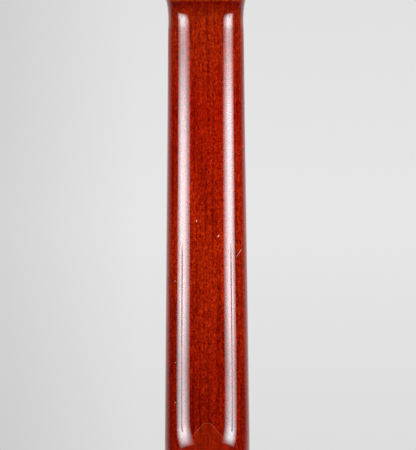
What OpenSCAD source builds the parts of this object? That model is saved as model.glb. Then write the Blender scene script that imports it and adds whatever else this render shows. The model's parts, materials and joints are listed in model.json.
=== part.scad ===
// Appalachian dulcimer with a guitar-style neck: an assembly of separate pieces.
// Millimetres. +Z runs up the neck, the strings face -Y and the back faces +Y.
// The origin is the lowest point of the end pin, on the centre line.

/* [Strings and scale] */
// Length of the open string from the nut to the saddle
scale_length = 635; // [600:5:680]
// Height of the strings over the first fret, measured at the nut
nut_action = 0.5; // [0.3:0.1:1]
// Height of the strings over the fret tops, measured at the saddle
saddle_action = 4.5; // [3:0.5:6]
// Distance from the centre line to the outer melody string at the nut
nut_string_x = 17; // [15:0.5:18]
// Distance from the centre line to the outer melody string at the saddle
saddle_string_x = 20; // [18:0.5:22]
// Gap between the two melody strings
melody_gap = 3; // [2.5:0.5:4]

/* [Neck] */
// Width of the neck at the nut
nut_w = 43; // [42:0.5:48]
// Width of the neck where it meets the body
joint_w = 49.4; // [48:0.2:54]
// Thickness of the neck's wood at the nut, without the fretboard
neck_depth = 14.7; // [13:0.1:17]
// Growth of that thickness from the nut to the start of the heel
neck_depth_gain = 2; // [0.5:0.1:3]
// Roundness of the neck's back at the heel: 2 is an ellipse, more is squarer
heel_end_power = 2.4; // [2:0.1:3]
// Roundness of the neck's back at the nut
nut_end_power = 2.7; // [2:0.1:3]
// Length of the heel from the body to the arch where its glue line ends
heel_len = 43.6; // [40:0.1:50]
// Length of the heel's foot along the body's end, measured along the neck
heel_foot = 16.6; // [15:0.2:20]
// Rise of the heel's curve before it turns into the foot
heel_curve_rise = 15.4; // [12:0.2:18]
// Roundness of the heel's curve: 2 is an ellipse, more is squarer
heel_power = 2.4; // [2:0.1:3.5]
// Thickness of the heel's cap
heel_cap_t = 3; // [2:0.5:5]
// Side of the square steel bar inlaid in the neck
bar_side = 6; // [5:0.5:8]

/* [Head] */
// Angle at which the head leans back
head_tilt = 13; // [11:0.5:16]
// Length of the head above the nut
head_len = 150; // [145:1:170]
// Width of the head
head_w = 62; // [60:1:70]
// Thickness of the head's wood
head_t = 16.8; // [15:0.1:18]
// Length over which the neck widens into the head
flare_len = 38; // [34:1:56]
// Distance below the nut at which that widening starts
flare_below_nut = 7; // [2:0.5:8]
// Radius of the bend between the neck's back and the head's back
throat_r = 32; // [25:1:40]
// Length over which the neck's back starts to turn before that bend
throat_lead = 14; // [8:1:20]
// Angle that it turns through over that length
throat_lead_turn = 2.5; // [1:0.5:4]
// Radius of the head's top corners
head_corner_r = 14; // [8:1:20]
// Thickness of the veneer on the head's front
overlay_t = 1.5; // [1:0.5:3]

/* [Fretboard] */
// Thickness of the fretboard
fretboard_t = 6; // [5:0.5:7]
// Height of the riser that carries the fretboard over the soundboard
riser_h = 8; // [6:0.5:12]
// Radius of a fret's crown
fret_r = 1.1; // [0.9:0.1:1.3]
// Thickness of a fret's tang
tang_t = 0.6; // [0.5:0.1:0.8]
// Depth of a fret's tang
tang_h = 2.2; // [1.5:0.1:3]
// Thickness of the nut along the string
nut_t = 5; // [4:0.5:6]
// Thickness of the saddle along the string
saddle_t = 3; // [2.5:0.5:4]
// Depth of the saddle's slot
saddle_slot = 5; // [3:0.5:6]
// Radius of a position dot
dot_r = 3; // [2:0.5:4]
// Depth of the strum hollow in the riser
hollow_depth = 4; // [2:0.5:5]

/* [Body] */
// Depth of the body from the soundboard's face to the back's face
body_depth = 50; // [46:1:60]
// Distance from the saddle to the tail's end
tail_len = 64.6; // [60:0.2:90]
// Width of the lower bout
lower_w = 175; // [160:1:190]
// Width of the waist
waist_w = 95; // [88:1:110]
// Width of the upper bout
upper_w = 130; // [120:1:145]
// Distance from the tail's end to the widest place of the lower bout
lower_at = 125; // [110:1:135]
// Distance from the tail's end to the waist
waist_at = 243; // [235:1:255]
// Distance from the neck's end of the body to the widest place of the upper bout
upper_back = 82; // [70:1:95]
// Width of the flat at the neck's end and at the tail's end
end_flat_w = 56; // [54:1:70]
// Thickness of the soundboard
top_t = 2.8; // [2.4:0.1:3.5]
// Thickness of the back
back_t = 2.8; // [2.4:0.1:3.5]
// Thickness of the sides
side_t = 2.4; // [2.2:0.1:3]
// Width of the binding
binding_w = 1.6; // [1.2:0.1:2]
// Width of the linings that join the plates to the sides
lining_w = 5; // [4:0.5:7]
// Height of the linings
lining_h = 7; // [5:0.5:10]
// Length of the neck block along the centre line
neck_block_len = 40; // [30:1:50]
// Length of the tail block along the centre line
tail_block_len = 30; // [25:1:40]
// Width of a brace
brace_w = 7; // [5:0.5:10]
// Height of a brace
brace_h = 8; // [6:0.5:12]
// Width of a heart-shaped sound hole
heart_w = 22; // [18:1:24]
// Distance from the centre line to the hearts in the lower bout
lower_heart_x = 54; // [50:1:58]
// Distance from the centre line to the hearts in the upper bout
upper_heart_x = 42; // [40:1:45]

/* [Fasteners] */
// Radius of the end pin's shank
pin_shank_r = 4; // [3:0.5:5]
// Radius of the end pin's head
pin_head_r = 7; // [6:0.5:9]
// Height of the end pin below the tail
pin_head_h = 14; // [10:1:18]
// Radius of a neck bolt
bolt_r = 3; // [2.5:0.5:4]
// Radius of a hitch pin
hitch_r = 1.1; // [0.9:0.1:1.4]
// Distance that a hitch pin stands out of the tail
hitch_out = 5; // [4:0.5:7]

/* [Tuners] */
// Module of the tuner's gear
gear_module = 0.7; // [0.65:0.05:0.8]
// Thickness of the gear
gear_t = 3; // [2.5:0.25:3.5]
// Radius of the worm at its pitch line
worm_pitch_r = 2.3; // [2.2:0.1:2.6]
// Radius of the worm's shaft
worm_shaft_r = 1.4; // [1.2:0.1:1.4]
// Thickness of the tuner's plate
plate_t = 1.2; // [1:0.1:1.6]
// Thickness of the lugs that hold the worm
lug_t = 1.8; // [1.5:0.1:2.5]
// Radius of the string post
post_r = 3; // [2.8:0.1:3.3]
// Radius of the bushing on the head's front
bushing_r = 4.5; // [4.3:0.1:5]
// Height of the post over the head's wood
post_h = 11; // [10:0.5:14]
// Distance from the centre line to the posts
post_x = 20; // [19:0.5:21]
// Distance from the nut's upper face to the lower pair of posts
post_first = 72; // [68:1:80]
// Distance between the posts of one side
post_pitch = 40; // [36:1:44]
// Width of a tuner's button along the head
button_w = 14; // [12:1:18]
// Length of a tuner's button
button_len = 18; // [14:1:22]
// Thickness of a tuner's button
button_t = 6.4; // [5:0.2:8]

/* [Fits] */
// Radial clearance of a shaft that turns in its bearing
running_gap = 0.05; // [0.02:0.01:0.08]
// Radial clearance of a glued or driven pin
glue_gap = 0.02; // [0.01:0.01:0.05]
// Gap beside a moving face
side_gap = 0.3; // [0.2:0.05:0.5]

/* [Hidden] */
$fn = 48;
TUNERS = [1, 2, 3, 4];
STRING_NAMES = ["melody_outer", "melody_inner", "middle", "bass"];

// Fret places in semitones: a diatonic scale, with the two added frets at 11 and 23.
FRETS = [2, 4, 5, 7, 9, 10, 11, 12, 14, 16, 17, 19, 21, 22, 23, 24];
// Frets with a position dot just above them, by their number in that list.
DOT_FRETS = [2, 4, 7, 11, 13];
BODY_FRET = 10;
GEAR_TEETH = 14;
FLANK_ANGLE = 20;
SIDE_STEPS = 18;
PROFILE_STEPS = 26;
EPS = 0.01;

// Heights along the neck.
tail_z = pin_head_h;
saddle_z = tail_z + tail_len;
nut_z = saddle_z + scale_length;
body_top_z = fret_z(BODY_FRET);
body_len = body_top_z - tail_z;
head_foot_z = nut_z + nut_t;
arch_z = body_top_z + heel_len;
flare_z = nut_z - flare_below_nut;

// Depths, counted along Y.
top_y = -body_depth / 2;
back_y = body_depth / 2;
glue_y = top_y - riser_h;
play_y = glue_y - fretboard_t;
fret_top_y = play_y - fret_r;

// Strings: radius, sign and place of each, from the melody side to the bass side.
STRING_R = [0.13, 0.13, 0.16, 0.3];
STRING_POST = [1, 2, 4, 3];
bass_inset = 1.5;
strip_proud = 0.4;
tail_drop = 0.6;
string_room = 0.06;
hitch_stagger = 5;
hitch_margin = 4;
wind_gap = 0.1;
hole_above_turns = 1.2;
string_hole_r = 0.6;
wind_depth = 5.6;
wind_turns = 4;
waist_gap = 0.4;

// Tuner sizes.
root_room = 0.15;
gear_r = gear_module * GEAR_TEETH / 2;
worm_pitch = PI * gear_module;
worm_len = 4 * worm_pitch;
worm_tip_r = worm_pitch_r + gear_module;
worm_root_r = worm_pitch_r - gear_module - root_room;
gear_centre = gear_r + worm_pitch_r;
worm_y = head_t + plate_t + side_gap + worm_tip_r;
gear_seat_r = 2;
gear_washer_r = 3;
lug_x = worm_len / 2 + side_gap;
plate_w = 2 * (lug_x + lug_t);
plate_margin = 7.5;
plate_low = -gear_centre - plate_margin;
plate_high = gear_r + plate_margin;
lug_half = 3;
screw_r = 1.2;
screw_head_r = 2;
screw_head_h = 1.2;
screw_len = 7.5;
screw_inset = 3;
// How far a cut runs on past the face that it opens.
cut_over = 1;
bore_room = 0.2;
bore_over = 5;
bushing_depth = 6;
bushing_flange = 1;
flange_lip = 0.7;
button_gap = 4;
button_x = head_w / 2 - post_x + button_gap;
button_neck = 4;
button_grip = 8;

function smooth(t) = let (u = max(0, min(1, t))) u * u * (3 - 2 * u);
function mix(a, b, t) = a + (b - a) * t;
function fret_z(semitones) = nut_z - scale_length * (1 - pow(2, -semitones / 12));
function tuner_side(i) = i <= 2 ? 1 : -1;
function tuner_s(i) = post_first + (i % 2 == 1 ? 0 : post_pitch);

// ---- Neck surface: depth and width along Z, and one closed section at a height ----

neck_taper = (joint_w - nut_w) / (nut_z - body_top_z);
arch_depth = neck_depth + neck_depth_gain;
foot_at = heel_len - heel_foot;
curve_lead = 30;
lead_rise = 0.45;
arch_slope = 2 * lead_rise / curve_lead;
foot_turn = 1;
back_depth = back_y - glue_y;
foot_extra = 9;
bar_margin = 6;
FEATHER_ANGLE = 2;
shaft_loss = neck_depth_gain - lead_rise;

function board_half(z) = (nut_w + neck_taper * min(nut_z - z, nut_z - body_top_z)) / 2;
function neck_half(z) =
    mix(board_half(z), head_w / 2, smooth((z - flare_z) / flare_len));

// How deep the neck's back would reach behind the glue plane if nothing cut it off.
function heel_reach(d) =
    d < foot_at
        ? arch_depth + arch_slope * d
            + heel_curve_rise * (1 - pow(1 - pow(d / foot_at, heel_power), 1 / heel_power))
    : d < foot_at + foot_turn
        ? mix(arch_depth + arch_slope * foot_at + heel_curve_rise, back_depth, (d - foot_at) / foot_turn)
    : back_depth + foot_extra * sqrt((d - foot_at - foot_turn) / (heel_len - foot_at - foot_turn));

function plain_reach(z) =
    z < arch_z ? heel_reach(arch_z - z)
    : z < arch_z + curve_lead
        ? arch_depth - lead_rise * (1 - pow((arch_z + curve_lead - z) / curve_lead, 2))
            - shaft_loss * (z - arch_z) / (nut_z - arch_z)
    : arch_depth - lead_rise - shaft_loss * min(1, (z - arch_z) / (nut_z - arch_z));

// The same with the throat's lead, where the back starts to turn towards the head.
function reach(z) =
    plain_reach(z) + throat_lift * pow(max(0, 1 + (z - scarf_z) / throat_lead), 2);

// Where sections are drawn, measured down from the arch: the heel's foot, and its curve.
function heel_marks() = [for (k = [6 : -1 : 0]) mix(foot_at + foot_turn, heel_len, k * k / 36)];
function curve_marks(last) =
    [for (a = [90, 81, 72, 63, 54, 45, 36, 27, 18, 10, 5, last]) foot_at * pow(sin(a), 2 / heel_power)];

// The part of the section between two depths, from the +X edge round the back to the -X edge.
function section(half, deep, power, low, high) =
    let (t0 = low <= 0 ? 0 : asin(min(1, pow(low / deep, power / 2))))
    [for (i = [0 : PROFILE_STEPS])
        let (t = mix(t0, 180 - t0, i / PROFILE_STEPS), c = cos(t))
        [sign(c) * half * pow(abs(c), 2 / power), min(high, deep * pow(abs(sin(t)), 2 / power))]];

function level_ring(z, low, high) =
    [for (p = section(neck_half(z), reach(z), shaft_power(z), low, high)) [p[0], glue_y + p[1], z]];

// ---- Head: its front and back lines, followed by one length t from the scarf joint ----

lead_slope = tan(throat_lead_turn);
throat_lift = lead_slope * throat_lead / 2;
turn_left = head_tilt - throat_lead_turn;
arc_tangent = throat_r * tan(turn_left / 2);
throat_s = (plain_reach(nut_z) - head_t * cos(head_tilt)) / sin(head_tilt);
throat_z = head_foot_z + throat_s * cos(head_tilt) - head_t * sin(head_tilt);
arc_drop = arc_tangent * cos(throat_lead_turn);
scarf_z = throat_z + (throat_lift - arc_drop * (tan(head_tilt) - lead_slope)) / tan(head_tilt);
bend_len = throat_r * turn_left * PI / 180;
bend_end_s = throat_s + (scarf_z + arc_drop - throat_z) / cos(head_tilt) + arc_tangent;
head_rings_top = head_len - bend_end_s + bend_len;
square_after = 4;
square_len = 40;
HEAD_SQUARE = 9;
last_ring_drop = 0.2;

function head_front_s(t) =
    t < bend_len ? mix(scarf_z - head_foot_z, bend_end_s, t / bend_len) : bend_end_s + t - bend_len;
function head_front(t) =
    let (s = head_front_s(t))
    s < 0 ? [glue_y, head_foot_z + s] : [glue_y + s * sin(head_tilt), head_foot_z + s * cos(head_tilt)];
function head_back(t) =
    let (a = throat_lead_turn + min(1, t / bend_len) * turn_left, run = max(0, t - bend_len))
    [glue_y + plain_reach(nut_z) + throat_lift + throat_r * (cos(throat_lead_turn) - cos(a)) + run * sin(a),
        scarf_z + throat_r * (sin(a) - sin(throat_lead_turn)) + run * cos(a)];
function head_half(t) =
    let (full = neck_half(scarf_z + t), over = t - (head_rings_top - head_corner_r))
    over <= 0 ? full : full - head_corner_r + sqrt(max(0, pow(head_corner_r, 2) - pow(over, 2)));
function shaft_power(z) =
    mix(heel_end_power, nut_end_power, pow(max(0, min(1, (z - arch_z) / (scarf_z - arch_z))), 2));
function head_power(t) = mix(nut_end_power, HEAD_SQUARE, smooth((t - square_after) / square_len));
function head_ring(t) =
    let (f = head_front(t), b = head_back(t))
    [for (p = section(head_half(t), 1, head_power(t), 0, 1))
        [p[0], mix(f[0], b[0], p[1]), mix(f[1], b[1], p[1])]];

// ---- Body outline: the +X side from the tail to the neck, and the same line moved inwards ----

upper_at = body_len - upper_back;
BOUT_POWER = 1.9;

function bout(z0, z1, w0, w1) =
    [for (i = [0 : SIDE_STEPS]) let (a = 90 * i / SIDE_STEPS)
        [mix(w0, w1, pow(1 - pow(cos(a), BOUT_POWER), 1 / BOUT_POWER)), mix(z0, z1, 1 - cos(a))]];
function blend(z0, z1, w0, w1) =
    [for (i = [1 : SIDE_STEPS - 1]) let (t = i / SIDE_STEPS)
        [mix(w0, w1, (1 - cos(180 * t)) / 2), mix(z0, z1, t)]];
function backwards(list) = [for (i = [len(list) - 1 : -1 : 0]) list[i]];

SIDE_LINE = concat(
    bout(tail_z, tail_z + lower_at, end_flat_w / 2, lower_w / 2),
    blend(tail_z + lower_at, tail_z + waist_at, lower_w / 2, waist_w / 2),
    blend(tail_z + waist_at, tail_z + upper_at, waist_w / 2, upper_w / 2),
    backwards(bout(body_top_z, tail_z + upper_at, end_flat_w / 2, upper_w / 2))
);
LAST = len(SIDE_LINE) - 1;

function inward(i) =
    i == 0 ? [0, 1] : i == LAST ? [0, -1]
    : let (d = SIDE_LINE[i + 1] - SIDE_LINE[i - 1]) [-d[1], d[0]] / norm(d);
function side_line(off) =
    concat([[0, tail_z + off]], [for (i = [0 : LAST]) SIDE_LINE[i] + off * inward(i)],
        [[0, body_top_z - off]]);
function mirrored(list) = [for (p = list) [-p[0], p[1]]];

// ---- Small helpers ----

// A flat drawing in X and Z, given a thickness from y0 to y1.
module slab(y0, y1) {
    translate([0, y1, 0])
        rotate([90, 0, 0])
            linear_extrude(y1 - y0)
                children();
}

// A flat drawing in Y and Z, given a width centred on X = x.
module strip(width, x = 0) {
    translate([x - width / 2, 0, 0])
        rotate([90, 0, 90])
            linear_extrude(width)
                children();
}

// A box between two corners.
module box(low, high) {
    translate(low)
        cube(high - low);
}

// A cylinder from one point to another.
module rod(from, to, r) {
    d = to - from;
    translate(from)
        rotate([0, acos(d[2] / norm(d)), atan2(d[1], d[0])])
            cylinder(h = norm(d), r = r);
}

// A closed solid through a list of sections, each an equal number of points, from low to high.
module loft(rings) {
    m = len(rings[0]);
    n = len(rings);
    sides = [for (i = [0 : n - 2]) for (j = [0 : m - 1])
        let (a = i * m + j, b = i * m + (j + 1) % m) each [[a, a + m, b + m], [a, b + m, b]]];
    ends = [[for (j = [0 : m - 1]) j], [for (j = [m - 1 : -1 : 0]) (n - 1) * m + j]];
    polyhedron(points = [for (ring = rings) each ring], faces = concat(ends, sides));
}

// Head coordinates: X across, Y back from the wood's front, Z up the head from the nut.
module on_head() {
    translate([0, glue_y, head_foot_z])
        rotate([-head_tilt, 0, 0])
            children();
}

// A tuner's own coordinates: its post at the origin, +X out towards its button.
module at_tuner(i) {
    on_head()
        translate([tuner_side(i) * post_x, 0, tuner_s(i)])
            mirror([tuner_side(i) < 0 ? 1 : 0, 0, 0])
                children();
}

// A cylinder along the head's depth, from y0 to y1.
module across_head(y0, y1, r) {
    translate([0, y1, 0])
        rotate([90, 0, 0])
            cylinder(h = y1 - y0, r = r);
}

// ---- Neck ----

module neck_shaft() {
    heel = [for (d = concat(heel_marks(), curve_marks(0))) arch_z - d];
    lead = [for (k = [1 : 4]) arch_z + curve_lead * k / 4];
    shaft = [for (k = [1 : 6]) mix(arch_z + curve_lead, scarf_z - throat_lead, k / 6)];
    throat = [for (k = [1 : 4]) scarf_z - throat_lead * (1 - k / 4)];
    color("firebrick")
        difference() {
            loft([for (z = concat(heel, lead, shaft, throat)) level_ring(z, 0, arch_depth)]);
            bar_space(glue_gap);
        }
}

module bar_space(gap) {
    box([-bar_side / 2 - gap, glue_y - EPS, body_top_z + bar_margin - gap],
        [bar_side / 2 + gap, glue_y + bar_side + gap, scarf_z - bar_margin + gap]);
}

module neck_bar() {
    color("slategray")
        box([-bar_side / 2, glue_y, body_top_z + bar_margin],
            [bar_side / 2, glue_y + bar_side, scarf_z - bar_margin]);
}

module heel_block() {
    deep = back_depth - heel_cap_t;
    marks = concat(heel_marks(), curve_marks(FEATHER_ANGLE));
    color("firebrick")
        difference() {
            loft([for (d = marks) level_ring(arch_z - d, arch_depth, deep)]);
            bolt_places()
                cylinder(h = bolt_grip, r = bolt_r + glue_gap);
        }
}

module heel_cap() {
    edge = foot_at + foot_turn * 0.95;
    color("saddlebrown")
        loft([for (d = concat(heel_marks(), [edge]))
            level_ring(arch_z - d, back_depth - heel_cap_t, back_depth)]);
}

module headstock() {
    foot_s = scarf_z - head_foot_z;
    kink = bend_end_s > 0 ? -bend_len * foot_s / (bend_end_s - foot_s) : bend_len - bend_end_s;
    bend = [for (k = [0 : 3]) mix(0, min(kink, bend_len), k / 3)];
    lower = [for (k = [0 : 9]) mix(max(kink, bend_len), flare_len, k / 9)];
    upper = [for (a = [0 : 15 : 75]) head_rings_top - head_corner_r * (1 - sin(a))];
    color("firebrick")
        difference() {
            loft([for (t = concat(bend, lower, upper, [head_rings_top - last_ring_drop])) head_ring(t)]);
            for (i = TUNERS)
                at_tuner(i) {
                    across_head(-EPS, head_t + bore_over, post_r + bore_room);
                    across_head(-cut_over, bushing_depth, bushing_r + glue_gap);
                    screw_places()
                        across_head(head_t - screw_len - glue_gap, head_t + cut_over, screw_r + glue_gap);
                }
        }
}

module headstock_overlay() {
    lower = [for (k = [0 : 12]) mix(0, flare_len, k / 12)];
    upper = [for (a = [0 : 10 : 90]) head_len - head_corner_r * (1 - sin(a))];
    edge = [for (s = concat(lower, upper)) [overlay_half(s), s]];
    color("saddlebrown")
        on_head()
            difference() {
                slab(-overlay_t, 0)
                    polygon(concat(edge, backwards(mirrored(edge))));
                for (i = TUNERS)
                    translate([tuner_side(i) * post_x, 0, tuner_s(i)])
                        across_head(-overlay_t - cut_over, cut_over, bushing_r + glue_gap);
            }
}

function overlay_half(s) = head_half(s - bend_end_s + bend_len);

// ---- Fretboard ----

board_past_fret = 9;
hollow_from_saddle = 22;
dot_t = 1.5;
fret_inset = 0.3;
board_end_z = fret_z(FRETS[len(FRETS) - 1]) - board_past_fret;
hollow_z0 = saddle_z + hollow_from_saddle;

module board_outline(z0, z1) {
    polygon([[-board_half(z0), z0], [board_half(z0), z0], [board_half(body_top_z), body_top_z],
        [board_half(z1), z1], [-board_half(z1), z1], [-board_half(body_top_z), body_top_z]]);
}

module fretboard() {
    color("sienna")
        difference() {
            slab(play_y, glue_y)
                board_outline(board_end_z, nut_z);
            for (semitones = FRETS)
                translate([0, 0, fret_z(semitones)])
                    box([-joint_w, play_y - cut_over, -tang_t / 2 - glue_gap],
                        [joint_w, play_y + tang_h + glue_gap, tang_t / 2 + glue_gap]);
            dot_places()
                cylinder(h = dot_t + glue_gap, r = dot_r + glue_gap);
        }
}

module dot_places() {
    for (k = DOT_FRETS)
        translate([0, play_y, (fret_z(FRETS[k]) + fret_z(FRETS[k - 1])) / 2])
            rotate([-90, 0, 0])
                children();
}

module position_dots() {
    color("ivory")
        dot_places()
            cylinder(h = dot_t, r = dot_r);
}

module frets() {
    color("silver")
        for (semitones = FRETS) {
            z = fret_z(semitones);
            width = 2 * (board_half(z) - fret_inset);
            translate([0, play_y, z])
                strip(width)
                        union() {
                            intersection() {
                                circle(r = fret_r);
                                translate([-fret_r, -fret_r])
                                    square([fret_r, 2 * fret_r]);
                            }
                            translate([-EPS, -tang_t / 2])
                                square([tang_h + EPS, tang_t]);
                        }
        }
}

module fretboard_riser() {
    full = [[top_y, tail_z], [play_y, tail_z], [play_y, hollow_z0], [glue_y, hollow_z0],
        [glue_y, body_top_z], [top_y, body_top_z]];
    hollow_len = board_end_z - hollow_z0;
    hollow_r = (hollow_len * hollow_len / 4 + hollow_depth * hollow_depth) / (2 * hollow_depth);
    color("peru")
        difference() {
            strip(joint_w)
                polygon(full);
            translate([-joint_w, glue_y - hollow_r + hollow_depth, (hollow_z0 + board_end_z) / 2])
                rotate([0, 90, 0])
                    cylinder(h = 2 * joint_w, r = hollow_r, $fn = 180);
            translate([0, 0, saddle_z])
                box([-saddle_half - glue_gap, play_y - cut_over, -saddle_t / 2 - glue_gap],
                    [saddle_half + glue_gap, play_y + saddle_slot + glue_gap, saddle_t / 2 + glue_gap]);
            box([-joint_w, play_y - cut_over, tail_z - cut_over],
                [joint_w, play_y + strip_side, tail_z + strip_side]);
        }
}

saddle_margin = 2.5;
saddle_half = saddle_string_x + saddle_margin;
strip_side = 3;
slot_cover = 0.15;
crown_front = 0.3;
crown_back = 0.2;
slot_reach = 12;

module nut() {
    slope = nut_t * tan(head_tilt);
    rise = fret_top_y - nut_action - slot_cover;
    color("ivory")
        difference() {
            strip(nut_w)
                polygon([[glue_y, nut_z], [rise, nut_z],
                    [rise + slope, nut_z + nut_t], [glue_y, nut_z + nut_t]]);
            for (k = [0 : 3])
                nut_slot(k);
        }
}

module saddle() {
    crest = fret_top_y - saddle_action - slot_cover;
    color("ivory")
        difference() {
            strip(2 * saddle_half)
                polygon([[play_y + saddle_slot, saddle_z - saddle_t / 2],
                    [crest + crown_front, saddle_z - saddle_t / 2],
                    [crest, saddle_z], [crest + crown_back, saddle_z + saddle_t / 2],
                    [play_y + saddle_slot, saddle_z + saddle_t / 2]]);
            for (k = [0 : 3]) {
                p = saddle_point(k);
                half = STRING_R[k] + string_room;
                box([p[0] - half, p[1] - cut_over, saddle_z - saddle_t],
                    [p[0] + half, p[1] + half + 0.1, saddle_z + saddle_t]);
            }
        }
}

module tail_strip() {
    color("ivory")
        box([-joint_w / 2, play_y - strip_proud, tail_z],
            [joint_w / 2, play_y + strip_side, tail_z + strip_side]);
}

// ---- Strings ----

function string_x(k, outer) =
    k == 0 ? outer : k == 1 ? outer - melody_gap : k == 2 ? 0 : -outer + bass_inset;
function nut_point(k) = [string_x(k, nut_string_x), fret_top_y - nut_action - STRING_R[k], nut_z];
function saddle_point(k) =
    [string_x(k, saddle_string_x), fret_top_y - saddle_action - STRING_R[k], saddle_z];
function tail_point(k) =
    [string_x(k, saddle_string_x), play_y - strip_proud - STRING_R[k] - glue_gap, tail_z - tail_drop];
function hitch_y(k) = top_y + top_t + hitch_margin + (k == 1 ? hitch_stagger : 0);
function hitch_point(k) = [string_x(k, saddle_string_x), hitch_y(k), tail_z - tail_drop];
function loop_r(k) = hitch_r + STRING_R[k] + glue_gap;
function string_end(k) = hitch_point(k) - [0, loop_r(k) + STRING_R[k] + glue_gap, 0];

// Where a string meets its winding, in head coordinates and then in the part's own.
function wind_r(k) = post_r - waist_gap + 2 * STRING_R[k];
function post_touch(k) =
    let (i = STRING_POST[k])
    [tuner_side(i) * (post_x - wind_r(k) - STRING_R[k] - wind_gap), -wind_depth, tuner_s(i)];
function head_point(p) =
    [p[0], glue_y + p[1] * cos(head_tilt) + p[2] * sin(head_tilt),
        head_foot_z - p[1] * sin(head_tilt) + p[2] * cos(head_tilt)];
function string_path(k) =
    [string_end(k), tail_point(k), saddle_point(k), nut_point(k), head_point(post_touch(k))];

function unit(v) = v / norm(v);
function run_at(path, i) =
    i == 0 ? unit(path[1] - path[0])
    : i == len(path) - 1 ? unit(path[i] - path[i - 1])
    : unit(unit(path[i] - path[i - 1]) + unit(path[i + 1] - path[i]));

// A wire of eight flat sides along a path that never runs along X.
module wire(path, r) {
    loft([for (i = [0 : len(path) - 1])
        let (d = run_at(path, i), u = unit(cross([1, 0, 0], d)), v = cross(d, u))
        [for (a = [22.5 : 45 : 360]) path[i] + r * (cos(a) * u + sin(a) * v)]]);
}

// The groove that holds a string in the nut, along the string on both sides of the nut's edge.
module nut_slot(k) {
    path = string_path(k);
    for (other = [path[2], path[4]])
        rod(path[3] - 0.4 * unit(other - path[3]), path[3] + slot_reach * unit(other - path[3]),
            STRING_R[k] + string_room);
}

module guitar_string(k) {
    color(k == 3 ? "darkgoldenrod" : "silver") {
        wire(string_path(k), STRING_R[k]);
        translate(hitch_point(k))
            rotate_extrude()
                translate([loop_r(k), 0])
                    circle(r = STRING_R[k], $fn = 16);
    }
}

// ---- Body ----

module plate_outline(off) {
    line = side_line(off);
    polygon(concat(line, backwards(mirrored(line))));
}

module half_ring(off0, off1, flip) {
    outer = side_line(off0);
    inner = side_line(off1);
    ring = concat(outer, backwards(inner));
    polygon(flip ? mirrored(ring) : ring);
}

// Two round lobes, and a wedge whose sides run straight from them down to the point.
module heart() {
    lobe_r = 0.27 * heart_w;
    lobe_x = heart_w / 2 - lobe_r;
    lobe_z = 0.1 * heart_w;
    tip_z = -0.42 * heart_w;
    leave = atan2(tip_z - lobe_z, -lobe_x) + acos(lobe_r / norm([lobe_x, lobe_z - tip_z]));
    side = [lobe_x + lobe_r * cos(leave), lobe_z + lobe_r * sin(leave)];
    polygon([[0, tip_z], side, [0, lobe_z], [-side[0], side[1]]]);
    for (s = [-1, 1])
        translate([s * lobe_x, lobe_z])
            circle(r = lobe_r);
}

module soundboard() {
    color("burlywood")
        difference() {
            slab(top_y, top_y + top_t)
                plate_outline(binding_w);
            slab(top_y - cut_over, top_y + top_t + cut_over)
                for (s = [-1, 1]) {
                    translate([s * lower_heart_x, tail_z + lower_at])
                        heart();
                    translate([s * upper_heart_x, tail_z + upper_at])
                        heart();
                }
        }
}

module back_plate() {
    color("firebrick")
        slab(back_y - back_t, back_y)
            plate_outline(binding_w);
}

module body_side(flip) {
    color("firebrick")
        difference() {
            slab(top_y + top_t, back_y - back_t)
                half_ring(0, side_t, flip);
            tail_holes();
            bolt_places()
                translate([0, 0, -side_t - 1])
                    cylinder(h = side_t + 2, r = bolt_r + bolt_room);
        }
}

module side_bass() {
    body_side(true);
}

module side_treble() {
    body_side(false);
}

module binding(y0, y1) {
    color("saddlebrown")
        slab(y0, y1)
            difference() {
                plate_outline(0);
                plate_outline(binding_w);
            }
}

module binding_front() {
    binding(top_y, top_y + top_t);
}

module binding_back() {
    binding(back_y - back_t, back_y);
}

block_inset = 3;
block_half = end_flat_w / 2 - block_inset;

module block_space(z0, z1) {
    box([-block_half, top_y + top_t, z0], [block_half, back_y - back_t, z1]);
}

module neck_block_space() {
    block_space(body_top_z - side_t - neck_block_len, body_top_z - side_t);
}

module tail_block_space() {
    block_space(tail_z + side_t, tail_z + side_t + tail_block_len);
}

module linings(y0, y1) {
    color("tan")
        difference() {
            slab(y0, y1)
                difference() {
                    plate_outline(side_t);
                    plate_outline(side_t + lining_w);
                }
            neck_block_space();
            tail_block_space();
        }
}

module linings_front() {
    linings(top_y + top_t, top_y + top_t + lining_h);
}

module linings_back() {
    linings(back_y - back_t - lining_h, back_y - back_t);
}

module neck_block() {
    color("tan")
        difference() {
            neck_block_space();
            bolt_places()
                translate([0, 0, -neck_block_len - side_t - 1])
                    cylinder(h = neck_block_len + side_t + 2, r = bolt_r + bolt_room);
        }
}

module tail_block() {
    color("tan")
        difference() {
            tail_block_space();
            tail_holes();
        }
}

brace_step = 45;
waist_brace = 30;
back_brace_step = 24;

module braces(y0, places) {
    color("wheat")
        for (z = places)
            intersection() {
                box([-lower_w, y0, z - brace_w / 2], [lower_w, y0 + brace_h, z + brace_w / 2]);
                slab(y0 - cut_over, y0 + brace_h + cut_over)
                    plate_outline(side_t + lining_w);
            }
}

module top_braces() {
    braces(top_y + top_t, [tail_z + lower_at - brace_step, tail_z + waist_at - brace_step,
        tail_z + waist_at + waist_brace]);
}

module back_braces() {
    braces(back_y - back_t - brace_h,
        [for (z = [lower_at, waist_at, upper_at]) tail_z + z - back_brace_step]);
}

// ---- Fasteners ----

bolt_room = 0.3;
bolt_grip = 12;
bolt_pitch = 20;
washer_t = 1.5;
washer_r = 2.4 * bolt_r;
bolt_head_r = 1.7 * bolt_r;
bolt_end_room = 0.5;
pin_depth = 22;
hitch_depth = 14;
hitch_head_r = hitch_r + 0.9;
hitch_head_h = 1.5;

module bolt_places() {
    for (y = [-bolt_pitch / 2, bolt_pitch / 2])
        translate([0, y, body_top_z])
            children();
}

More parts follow.
